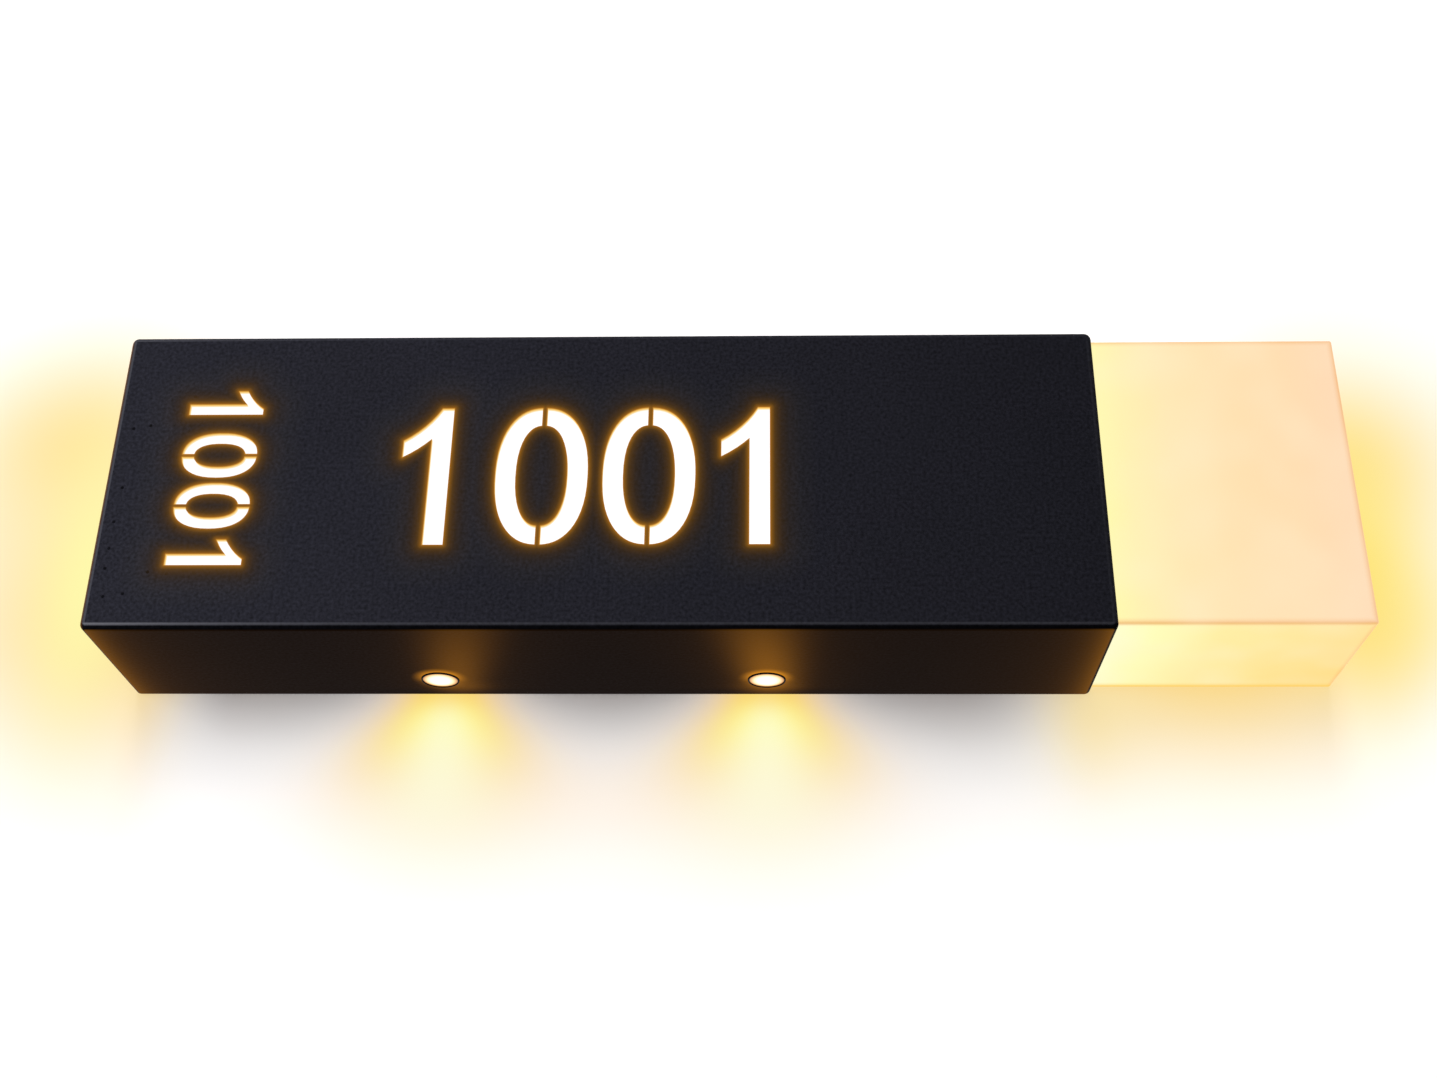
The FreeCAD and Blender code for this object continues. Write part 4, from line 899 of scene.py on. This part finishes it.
def chip_package(size, upright):
    """Moulded frame with a recess, and the phosphor that fills it, both with their foot at height 0."""
    height, narrow, wide = size
    half = (narrow / 2, wide / 2) if upright else (wide / 2, narrow / 2)
    wall, recess, slope, chamfer, gap = 0.4, 0.12, 0.15, 0.06, 0.02
    work = bmesh.new()
    loops = []
    for inset, level in ((0.0, 0.0), (0.0, height - 0.08), (chamfer, height), (wall, height),
                         (wall + slope, height - recess)):
        x, y = half[0] - inset, half[1] - inset
        corners = ((-x, -y), (x, -y), (x, y), (-x, y))
        loops.append([work.verts.new((a * mm, b * mm, level * mm)) for a, b in corners])
    work.faces.new(reversed(loops[0]))
    work.faces.new(loops[-1])
    for lower, upper in zip(loops, loops[1:]):
        for i in range(4):
            j = (i + 1) % 4
            work.faces.new((lower[i], lower[j], upper[j], upper[i]))
    x, y = half[0] - wall - gap, half[1] - wall - gap
    fill = box_mesh("chip_phosphor", (-x, -y, height - recess), (x, y, height - gap), 0.05)
    return finished_mesh("chip_frame", work), fill


# Stage

def wall_paint(stage):
    """Matt white wall. It keeps the light's real shadow, and where the lamps throw warm light the paint
    shows their colour. From behind it isn't there, so that the back of the light can be seen."""
    material = bpy.data.materials.new("matt_white_wall")
    material.use_nodes = True
    tree = material.node_tree
    tree.nodes.clear()
    x, _, z = add(tree, "SeparateXYZ", add(tree, "TexCoord").outputs["Object"]).outputs

    # Side, colour, strength, middle along X and Z, half width and height in millimetres, and how much a
    # layer widens below the light. The layers at each end fade out towards the light's middle
    layers = [
        ("left", "#F8CC52", 0.86, -140, -28, 131, 67, 0.0), ("left", "#FDD64E", 0.79, -185, 43, 61, 54, 0.0),
        ("left", "#FFFAAC", 0.95, -171, -9, 19, 52, 0.0), ("right", "#FEE59A", 1.0, 238, 32, 60, 56, 0.0),
        ("right", "#FEEA7C", 1.0, 240, -9, 19, 42, 0.0), ("right", "#FEEF9A", 0.71, 247, -25, 36, 31, 0.0),
        ("right", "#FED455", 0.84, 187, -37, 65, 51, 0.0), ("right", "#FFE068", 0.47, 145, -61, 20, 25, 0.0),
    ]
    for place in spot_places:
        for shade, strength, up, half_x, half_z, widening in (
                ("#FFC766", 1.0, -63, 20, 35, 0.8), ("#FFF866", 1.0, -58, 8, 17, 0.69),
                ("#FDFFE3", 0.8, -78, 4, 39, 0.62), ("#FACE60", 0.7, -49, 15, 6, 0.0)):
            layers.append(("below", shade, strength, place.x / mm, up, half_x, half_z, widening))
    open_side = {
        "left": add(tree, "MapRange", x, -152 * mm, -118 * mm, 1.0, 0.0, interpolation_type="SMOOTHSTEP"),
        "right": add(tree, "MapRange", x, 104 * mm, 154 * mm, interpolation_type="SMOOTHSTEP"),
        "below": 1.0}
    underside = -48 * mm
    lower = add(tree, "Math", underside, z, operation="SUBTRACT")
    lower = add(tree, "Math", lower, 0.0, operation="MAXIMUM")
    colour, bare = linear("#FFFFFF"), 1.0
    for side, shade, strength, middle_x, middle_z, half_x, half_z, widening in layers:
        across = add(tree, "Math", x, middle_x * mm, operation="SUBTRACT")
        width = add(tree, "Math", lower, widening, half_x * mm, operation="MULTIPLY_ADD")
        over = add(tree, "Math", across, width, operation="DIVIDE")
        up = add(tree, "Math", z, middle_z * mm, operation="SUBTRACT")
        rise = add(tree, "Math", up, half_z * mm, operation="DIVIDE")
        squares = add(tree, "Math", rise, rise, operation="MULTIPLY")
        squares = add(tree, "Math", over, over, squares, operation="MULTIPLY_ADD")
        share = add(tree, "Math", faded, squares, operation="POWER")
        share = add(tree, "Math", share, strength, operation="MULTIPLY")
        share = add(tree, "Math", share, open_side[side], operation="MULTIPLY")
        colour = add(tree, "Mix", share, colour, linear(shade), data_type="RGBA")
        rest = add(tree, "Math", 1.0, share, operation="SUBTRACT")
        bare = add(tree, "Math", bare, rest, operation="MULTIPLY")
    painted = add(tree, "Math", 1.0, bare, operation="SUBTRACT")
    matt = add(tree, "BsdfDiffuse", {"Color": linear(stage.wall_colour)})
    lift = add(tree, "Emission", {"Color": linear("#FFF0EA"), "Strength": stage.wall_lift})
    glow = add(tree, "Emission", {"Color": colour, "Strength": 1.0})
    seen = add(tree, "MixShader", painted, add(tree, "AddShader", matt, lift), glow)
    behind = add(tree, "NewGeometry").outputs["Backfacing"]
    whole = add(tree, "MixShader", behind, seen, add(tree, "BsdfTransparent"))
    add(tree, "OutputMaterial", {"Surface": whole})
    return material


def wall_and_floor(stage):
    """Wall and floor in one sheet, with a cove between them."""
    wall_y, half_width, height, depth, steps = 0.5 * mm, 3.0, 3.0, 5.0, 16
    line = [(wall_y, height)]
    for turn in np.linspace(0, math.pi / 2, steps + 1):
        line.append((wall_y - stage.cove * (1 - math.cos(turn)),
                     -stage.floor_drop + stage.cove * (1 - math.sin(turn))))
    line.append((-depth, -stage.floor_drop))
    work = bmesh.new()
    left, right = ([work.verts.new((x, y, z)) for y, z in line] for x in (-half_width, half_width))
    for i in range(len(line) - 1):
        work.faces.new((left[i], left[i + 1], right[i + 1], right[i]))
    work.normal_update()
    mesh = bpy.data.meshes.new("wall_and_floor")
    work.to_mesh(mesh)
    work.free()
    mesh.materials.append(wall_paint(stage))
    wall = bpy.data.objects.new("wall_and_floor", mesh)
    bpy.context.scene.collection.objects.link(wall)
    wall.visible_diffuse = wall.visible_glossy = wall.visible_transmission = wall.visible_shadow = False


def even_sky(stage):
    """Sky of even light, dimmer from below, that the camera, gloss and clear pieces see as white."""
    world = bpy.data.worlds.new("even_sky")
    bpy.context.scene.world = world
    world.use_nodes = True
    tree = world.node_tree
    tree.nodes.clear()
    rays = add(tree, "LightPath").outputs
    _, _, aim = add(tree, "SeparateXYZ", add(tree, "TexCoord").outputs["Generated"]).outputs
    from_below = 0.12
    strength = add(tree, "MapRange", aim, -0.6, 0.05, from_below * stage.sky, stage.sky)
    for kind in ("Camera", "Glossy", "Transmission"):
        strength = add(tree, "Math", strength, rays[f"Is {kind} Ray"], operation="MAXIMUM")
    sky = add(tree, "Background", {"Color": linear("#FFFFFF"), "Strength": strength})
    add(tree, "OutputWorld", {"Surface": sky})


def aimed_object(data, aim, place=(0, 0, 0)):
    """Object of a lamp that shines along a direction."""
    holder = bpy.data.objects.new(data.name, data)
    bpy.context.scene.collection.objects.link(holder)
    holder.location = place
    holder.rotation_euler = Vector(aim).to_track_quat("-Z", "Y").to_euler()


def lamps(stage):
    """Sun from in front in four parts from low to high, sun from behind, and the side softbox."""
    suns = [("rear_lamp", (0.3, -1.0, -0.6), stage.rear_lamp, 50)]
    for name, rise, share in (("low", 4, 0.25), ("middle", 16, 0.3), ("high", 28, 0.27), ("top", 40, 0.18)):
        aim = (0.03, math.cos(math.radians(rise)), -math.sin(math.radians(rise)))
        suns.append((f"main_lamp_{name}", aim, stage.main_lamp * share, 14))
    for name, aim, strength, spread in suns:
        sun = bpy.data.lights.new(name, "SUN")
        sun.energy = strength
        sun.angle = math.radians(spread)
        aimed_object(sun, aim)
    box = bpy.data.lights.new("side_lamp", "AREA")
    box.energy = stage.side_lamp
    box.size = 0.3
    aimed_object(box, (0.5, 0.5, 0.0), (-0.5, -0.5, 0.0))


def photo_camera(stage):
    """Camera at the photograph's place, turned by its heading, tilt and roll."""
    yaw, pitch, roll = stage.camera_yaw, stage.camera_pitch, stage.camera_roll
    ahead = Vector((math.sin(yaw) * math.cos(pitch), math.cos(yaw) * math.cos(pitch), math.sin(pitch)))
    level = Vector((math.cos(yaw), -math.sin(yaw), 0))
    rise = level.cross(ahead)
    right = math.cos(roll) * level + math.sin(roll) * rise
    above = -math.sin(roll) * level + math.cos(roll) * rise
    lens = bpy.data.cameras.new("photo_camera")
    lens.lens = stage.lens
    lens.sensor_width = 36
    lens.sensor_fit = "HORIZONTAL"
    camera = bpy.data.objects.new("photo_camera", lens)
    bpy.context.scene.collection.objects.link(camera)
    camera.location = stage.camera_place
    camera.rotation_euler = Matrix((right, above, -ahead)).transposed().to_euler()
    bpy.context.scene.camera = camera


# Settings

class FinishColours(bpy.types.PropertyGroup):
    lamp_warmth: FloatVectorProperty(
        name="Lamp warmth", description="Colour of the lamps' light where it lies on the black shell",
        subtype="COLOR", size=3, min=0, max=1, default=linear("#FFA428")[:3])
    coat: FloatVectorProperty(
        name="Coat", description="Colour of the shell's powder coat",
        subtype="COLOR", size=3, min=0, max=1, default=linear("#1A1A1F")[:3])
    coat_peel: FloatVectorProperty(
        name="Coat's peel", description="Paler colour of the coat's orange peel",
        subtype="COLOR", size=3, min=0, max=1, default=linear("#34343E")[:3])
    block_gold: FloatVectorProperty(
        name="Block's gold", description="Deep yellow of the frosted block towards the wall",
        subtype="COLOR", size=3, min=0, max=1, default=linear("#F9C634")[:3])
    levers: FloatVectorProperty(
        name="Levers", description="Colour of the connector's levers",
        subtype="COLOR", size=3, min=0, max=1, default=linear("#EA7420")[:3])


class GlowSizes(bpy.types.PropertyGroup):
    left_fan_lean: FloatProperty(
        name="Left fan lean", description="Sideways run of the left downlight's glow per length forwards",
        default=0.18, subtype="FACTOR")
    right_fan_lean: FloatProperty(
        name="Right fan lean", description="Sideways run of the right downlight's glow per length forwards",
        default=-0.07, subtype="FACTOR")
    block_edge: FloatProperty(
        name="Block edge line", description="Width of the deeper line along the frosted block's edges",
        default=2.2 * mm, subtype="DISTANCE", unit="LENGTH")


class StageSettings(bpy.types.PropertyGroup):
    wall_colour: FloatVectorProperty(
        name="Wall colour", description="Colour of the wall and floor",
        subtype="COLOR", size=3, min=0, max=1, default=linear("#FEFEFE")[:3])
    wall_lift: FloatProperty(
        name="Wall lift", description="Brightness that the white wall shows beyond the lamps' light",
        default=0.18)
    floor_drop: FloatProperty(
        name="Floor drop", description="Height of the light's middle above the floor",
        default=0.75, subtype="DISTANCE", unit="LENGTH")
    cove: FloatProperty(
        name="Cove radius", description="Radius of the curve between wall and floor",
        default=0.3, subtype="DISTANCE", unit="LENGTH")
    sky: FloatProperty(
        name="Sky strength", description="Strength of the even light from all sides", default=0.5)
    main_lamp: FloatProperty(
        name="Main lamp", description="Strength of the soft light from the front", default=1.82)
    rear_lamp: FloatProperty(
        name="Rear lamp", description="Strength of the soft light from behind", default=1.2)
    side_lamp: FloatProperty(
        name="Side lamp", description="Power of the softbox that draws the left and lower bends",
        default=0.8, subtype="POWER", unit="POWER")
    camera_place: FloatVectorProperty(
        name="Camera place", description="Place of the camera, measured from the light's middle on the wall",
        size=3, default=(0.05043, -0.51101, -0.24936), subtype="TRANSLATION", unit="LENGTH")
    camera_yaw: FloatProperty(
        name="Camera heading", description="Turn of the camera from the wall's normal",
        default=math.radians(-1.878), subtype="ANGLE", unit="ROTATION")
    camera_pitch: FloatProperty(
        name="Camera tilt", description="Upward tilt of the camera",
        default=math.radians(26.383), subtype="ANGLE", unit="ROTATION")
    camera_roll: FloatProperty(
        name="Camera roll", description="Roll of the camera about its line of sight",
        default=math.radians(0.710), subtype="ANGLE", unit="ROTATION")
    lens: FloatProperty(
        name="Lens", description="Focal length on a 36 mm wide sensor", default=43.784,
        subtype="DISTANCE_CAMERA", unit="CAMERA")


# Operators

class WALLLIGHT_OT_shell(bpy.types.Operator):
    """Build the black shell with its cut digits and the light that lies on it"""
    bl_idname = "walllight.shell"
    bl_label = "Shell"

    def execute(self, context):
        bend_radius = 2.2 * mm
        work = merged_copy("shell")
        starts, ends = remesh_front(work)
        mesh = finished_mesh("shell_powder_coated", work)
        mark_distance(mesh, starts, ends)
        box_normals(mesh, shell_low, shell_high, bend_radius)
        material = powder_coat(context.scene.walllight_colours, context.scene.walllight_sizes)
        new_piece("shell_powder_coated", mesh, material, "cover", "shell")
        return {"FINISHED"}


class WALLLIGHT_OT_frosted_acrylic(bpy.types.Operator):
    """Build the frosted block, the panel behind the digits and the window in the left end"""
    bl_idname = "walllight.frosted_acrylic"
    bl_label = "Frosted acrylic"

    def execute(self, context):
        edge_radius, panel_fade, window_fade = 0.8 * mm, 9 * mm, 16 * mm
        mesh = finished_mesh("block_frosted", merged_copy("diffuser"))
        box_normals(mesh, block_low, block_high, edge_radius, square_left=True)
        material = frosted_block(context.scene.walllight_colours, context.scene.walllight_sizes)
        new_piece("block_frosted", mesh, material, "cover", "diffuser")
        dress(lit_panel("opal_panel_lit", "number_panel", "#FFFDFE", "#FFE6B0", panel_fade), "number_panel")
        window = lit_panel("opal_window_lit", "left_window", "#FFF2B4", "#FFD878", window_fade)
        eased_piece("window_opal", "left_window", 0.3, window)
        return {"FINISHED"}


class WALLLIGHT_OT_downlights(bpy.types.Operator):
    """Build both downlights: lens, threaded sleeve, ring nut and cap"""
    bl_idname = "walllight.downlights"
    bl_label = "Downlights"

    def execute(self, context):
        black = anodised_black()
        sheet = shell_low.z / mm
        lens_radius, dome, sleeve_radius = 5.3, 0.22, 5.75
        for side, place in zip(sides, spot_places):
            centre = Vector((place.x, place.y, 0))
            name, node = f"lens_domed_{side}", f"spot_{side}_lens"
            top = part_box(node)[1].z / mm
            rings = [(lens_radius - 0.4, top), (lens_radius, top - 0.4), (lens_radius, sheet - dome)]
            for share in (0.95, 0.8, 0.6, 0.4, 0.2, 0.06):
                rings.append((lens_radius * share, sheet - dome * (2 - share ** 2)))
            lens = moved(turned(name, rings, faces=64), centre)
            new_piece(name, lens, lens_acrylic(place, lens_radius), "cover", node)

            name, node = f"sleeve_threaded_{side}", f"spot_{side}_body"
            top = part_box(node)[1].z / mm
            rings = [(5.36, sheet - 0.3), (5.42, sheet - 0.44), (5.55, sheet - 0.5), (5.7, sheet - 0.46),
                     (5.82, sheet - 0.2), (5.85, sheet), (sleeve_radius, sheet)]
            rings += threaded(sleeve_radius, depth=0.28, pitch=0.5, low=sheet + 1.6, high=top - 0.6)
            rings += [(sleeve_radius - 0.15, top), (sleeve_radius - 0.4, top)]
            sleeve = moved(turned(name, rings, faces=64, bored=True), centre)
            new_piece(name, sleeve, black, "cover", node)

            name, node = f"ring_nut_{side}", f"spot_{side}_nut"
            low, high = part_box(node)
            nut = moved(ring_nut(name, low.z / mm, high.z / mm), centre)
            new_piece(name, nut, black, "cover", node)
            eased_piece(f"cap_eased_{side}", f"spot_{side}_cap", 0.3, black)
        return {"FINISHED"}


class WALLLIGHT_OT_boards(bpy.types.Operator):
    """Build the tray and the chips, and finish the boards and reflectors"""
    bl_idname = "walllight.boards"
    bl_label = "Boards and tray"

    def execute(self, context):
        enamel = white_enamel()
        eased_piece("tray_enamelled", "light_tray", 0.15, enamel)
        dress(enamel, "spot_left_reflector", "spot_right_reflector")
        dress(solder_mask(), "number_board", "left_board", "diffuser_board", "spot_left_board",
              "spot_right_board")
        package, phosphor = chip_package_plastic(), phosphor_silicone()
        for node, turn, axis in (("number_chips", AGAINST_Y, Y), ("left_chips", AGAINST_X, X),
                                 ("diffuser_chips", ALONG_X, X)):
            boxes = solid_boxes(node)
            feet = [end_of(box, axis, upper=turn != ALONG_X) for box in boxes]
            size = sorted(length_of(boxes[0], along) for along in (X, Y, Z))
            longest_up = length_of(boxes[0], Z) > size[1] * 1.01
            frame_mesh, fill_mesh = chip_package(size, longest_up != (axis == X))
            repeated_piece(f"{node}_packages", node, frame_mesh, feet, turn, package)
            repeated_piece(f"{node}_phosphor", node, fill_mesh, feet, turn, phosphor)
        return {"FINISHED"}


class WALLLIGHT_OT_fasteners(bpy.types.Operator):
    """Build the weld studs, nuts, screws and earth point, with real threads, recesses and chamfers"""
    bl_idname = "walllight.fasteners"
    bl_label = "Fasteners"

    def execute(self, context):
        zinc, brass, black = zinc_plate(), dipped_brass(), blackened_steel()

        # M3 weld studs and their nuts
        studs, nuts = solid_boxes("weld_studs"), solid_boxes("stud_nuts")
        length = length_of(studs[0], Y)
        thread = threaded(1.5, depth=0.2, pitch=0.5, low=0.6, high=length - 0.3)
        rings = [(1.5, 0)] + thread + [(1.25, length)]
        stud = turned("stud", rings, faces=24)
        repeated_piece("studs_threaded", "weld_studs", stud, [end_of(box, Y) for box in studs], ALONG_Y, zinc,
                       spin=math.pi, seed=4)
        nut = hex_nut("nut", flats=5.5, height=length_of(nuts[0], Y), bore=1.55)
        repeated_piece("nuts_on_studs", "stud_nuts", nut, [end_of(box, Y) for box in nuts], ALONG_Y, zinc,
                       spin=0.04, seed=7)

        # M2.5 board screws, which point to the wall in the tray and to the left in the block's carrier
        boxes = solid_boxes("board_screws")
        along_y = [box for box in boxes if length_of(box, Y) > length_of(box, X)]
        along_x = [box for box in boxes if box not in along_y]
        for name, chosen, turn, axis in (("tray", along_y, ALONG_Y, Y), ("carrier", along_x, AGAINST_X, X)):
            low, high = chosen[0]
            screw = pan_screw(f"{name}_screw", head_radius=2.2, head_height=1.2, radius=1.25, pitch=0.45,
                              length=max(high - low) / mm)
            heads = [end_of(box, axis, upper=turn == AGAINST_X) for box in chosen]
            repeated_piece(f"board_screws_{name}", "board_screws", screw, heads, turn, zinc, spin=math.pi,
                           seed=11)

        # M3 screws that hold the block
        boxes = solid_boxes("diffuser_screws")
        screw = pan_screw("block_screw", head_radius=2.75, head_height=1.9, radius=1.5, pitch=0.5,
                          length=length_of(boxes[0], X))
        repeated_piece("block_screws", "diffuser_screws", screw, [end_of(box, X) for box in boxes], ALONG_X,
                       zinc, spin=math.pi, seed=5)

        # M4 cover screws and the clinch nuts that they turn in
        for side in sides:
            name, node = f"button_screw_{side}", f"cover_screw_{side}"
            seat = end_of(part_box(node), Z)
            seat.z = shell_high.z
            new_piece(name, moved(button_screw(name), seat), black, f"{side}_screw", node)
        boxes = solid_boxes("clinch_nuts")
        nut = clinch_nut("clinch_nut", length_of(boxes[0], Z))
        repeated_piece("clinch_nuts_knurled", "clinch_nuts", nut, [end_of(box, Z) for box in boxes], UPRIGHT,
                       zinc, body="bracket")

        # Earth point: M4 stud, toothed washer and nut on one line
        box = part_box("earth_stud")
        root, length = end_of(box, Y, upper=True), length_of(box, Y)
        thread = threaded(2.0, depth=0.28, pitch=0.7, low=0.8, high=length - 0.4)
        rings = [(2.0, 0)] + thread + [(1.6, length)]
        stud = moved(turned("earth_stud_threaded", rings, faces=32), root, AGAINST_Y)
        new_piece("earth_stud_threaded", stud, brass, "bracket", "earth_stud")

        def toothed(turn):
            return 4.5 - 0.35 * (math.sin(12 * turn) > 0.2)
        root.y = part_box("earth_washer")[1].y
        rings = [(toothed, 0.0), (toothed, 1.0), (2.3, 1.0), (2.2, 0.9), (2.2, 0.1), (2.3, 0)]
        washer = moved(turned("earth_washer_toothed", rings, faces=96, bored=True), root, AGAINST_Y)
        new_piece("earth_washer_toothed", washer, zinc, "bracket", "earth_washer")
        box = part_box("earth_nut")
        root.y = box[1].y
        nut = hex_nut("earth_nut_chamfered", flats=7.0, height=length_of(box, Y), bore=2.05)
        nut = moved(nut, root, AGAINST_Y)
        new_piece("earth_nut_chamfered", nut, brass, "bracket", "earth_nut")
        return {"FINISHED"}


class WALLLIGHT_OT_sheet_metal(bpy.types.Operator):
    """Build the wall bracket and the block's carrier plate, and finish the lever pin and earth lug"""
    bl_idname = "walllight.sheet_metal"
    bl_label = "Sheet metal"

    def execute(self, context):
        zinc = zinc_plate()
        eased_piece("bracket_plated", "wall_bracket", 0.18, zinc, "bracket")
        eased_piece("carrier_plated", "diffuser_carrier", 0.18, zinc)
        dress(zinc, "lever_pin", "earth_lug")
        return {"FINISHED"}


class WALLLIGHT_OT_electrics(bpy.types.Operator):
    """Build the driver, splitter, connector with its levers, and bushing, and finish the leads"""
    bl_idname = "walllight.electrics"
    bl_label = "Electrics"

    def execute(self, context):
        white, grey = moulded_white(), moulded_grey()
        orange = lever_polycarbonate(context.scene.walllight_colours)
        for name, node, width, material, slot, body in (
                ("driver_case_moulded", "driver_case", 0.25, white, "white_plastic", "cover"),
                ("driver_lid_moulded", "driver_lid", 0.2, white, "white_plastic", "cover"),
                ("splitter_moulded", "led_splitter", 0.2, white, "white_plastic", "cover"),
                ("connector_moulded", "supply_connector", 0.25, grey, "grey_plastic", "cover"),
                ("bushing_moulded", "cable_bushing", 0.3, grey, "grey_plastic", "bracket"),
                ("live_lever_moulded", "lever_live", 0.2, orange, "orange_plastic", "live_lever"),
                ("neutral_lever_moulded", "lever_neutral", 0.2, orange, "orange_plastic", "neutral_lever"),
                ("earth_lever_moulded", "lever_earth", 0.2, orange, "orange_plastic", "earth_lever")):
            eased_piece(name, node, width, material, body)
        dress(open_foam(), "driver_pad")
        dress(pvc_sleeve("brown_pvc", "#6A4028", "#5E3822")[0], "live_lead")
        dress(pvc_sleeve("blue_pvc", "#2A62B4", "#2458A4")[0], "neutral_lead")
        dress(pvc_sleeve("white_pvc", "#E4E2DC", "#DAD8D0")[0], "driver_output_lead", "number_board_lead",
              "left_board_lead", "diffuser_board_lead", "spot_left_lead", "spot_right_lead")
        dress(striped_pvc(), "earth_lead")
        return {"FINISHED"}


class WALLLIGHT_OT_stage(bpy.types.Operator):
    """Build the wall and floor, the sky, the lamps and the camera"""
    bl_idname = "walllight.stage"
    bl_label = "Stage"

    def execute(self, context):
        stage = context.scene.walllight_stage
        wall_and_floor(stage)
        even_sky(stage)
        lamps(stage)
        photo_camera(stage)
        context.scene.view_settings.view_transform = "Standard"
        return {"FINISHED"}


class WALLLIGHT_PT_panel(bpy.types.Panel):
    """Sidebar list of the light's pieces and settings"""
    bl_idname = "WALLLIGHT_PT_panel"
    bl_label = "Room number wall light"
    bl_space_type = "VIEW_3D"
    bl_region_type = "UI"
    bl_category = "Wall light"

    def draw(self, context):
        for operator in operators:
            self.layout.operator(operator.bl_idname)
        for group in ("walllight_colours", "walllight_sizes", "walllight_stage"):
            settings = getattr(context.scene, group)
            for name in settings.__annotations__:
                self.layout.prop(settings, name)


operators = (
    WALLLIGHT_OT_shell,
    WALLLIGHT_OT_frosted_acrylic,
    WALLLIGHT_OT_downlights,
    WALLLIGHT_OT_boards,
    WALLLIGHT_OT_fasteners,
    WALLLIGHT_OT_sheet_metal,
    WALLLIGHT_OT_electrics,
    WALLLIGHT_OT_stage,
)
groups = (FinishColours, GlowSizes, StageSettings)


def register():
    """Add the classes and their settings."""
    for kind in (*groups, *operators, WALLLIGHT_PT_panel):
        bpy.utils.register_class(kind)
    bpy.types.Scene.walllight_colours = PointerProperty(type=FinishColours)
    bpy.types.Scene.walllight_sizes = PointerProperty(type=GlowSizes)
    bpy.types.Scene.walllight_stage = PointerProperty(type=StageSettings)


def unregister():
    """Take the classes and their settings out again."""
    for name in ("walllight_colours", "walllight_sizes", "walllight_stage"):
        delattr(bpy.types.Scene, name)
    for kind in reversed((*groups, *operators, WALLLIGHT_PT_panel)):
        bpy.utils.unregister_class(kind)


def main():
    """Build the light and its stage."""
    register()
    for operator in operators:
        family, name = operator.bl_idname.split(".")
        getattr(getattr(bpy.ops, family), name)()


if __name__ == "__main__":
    main()
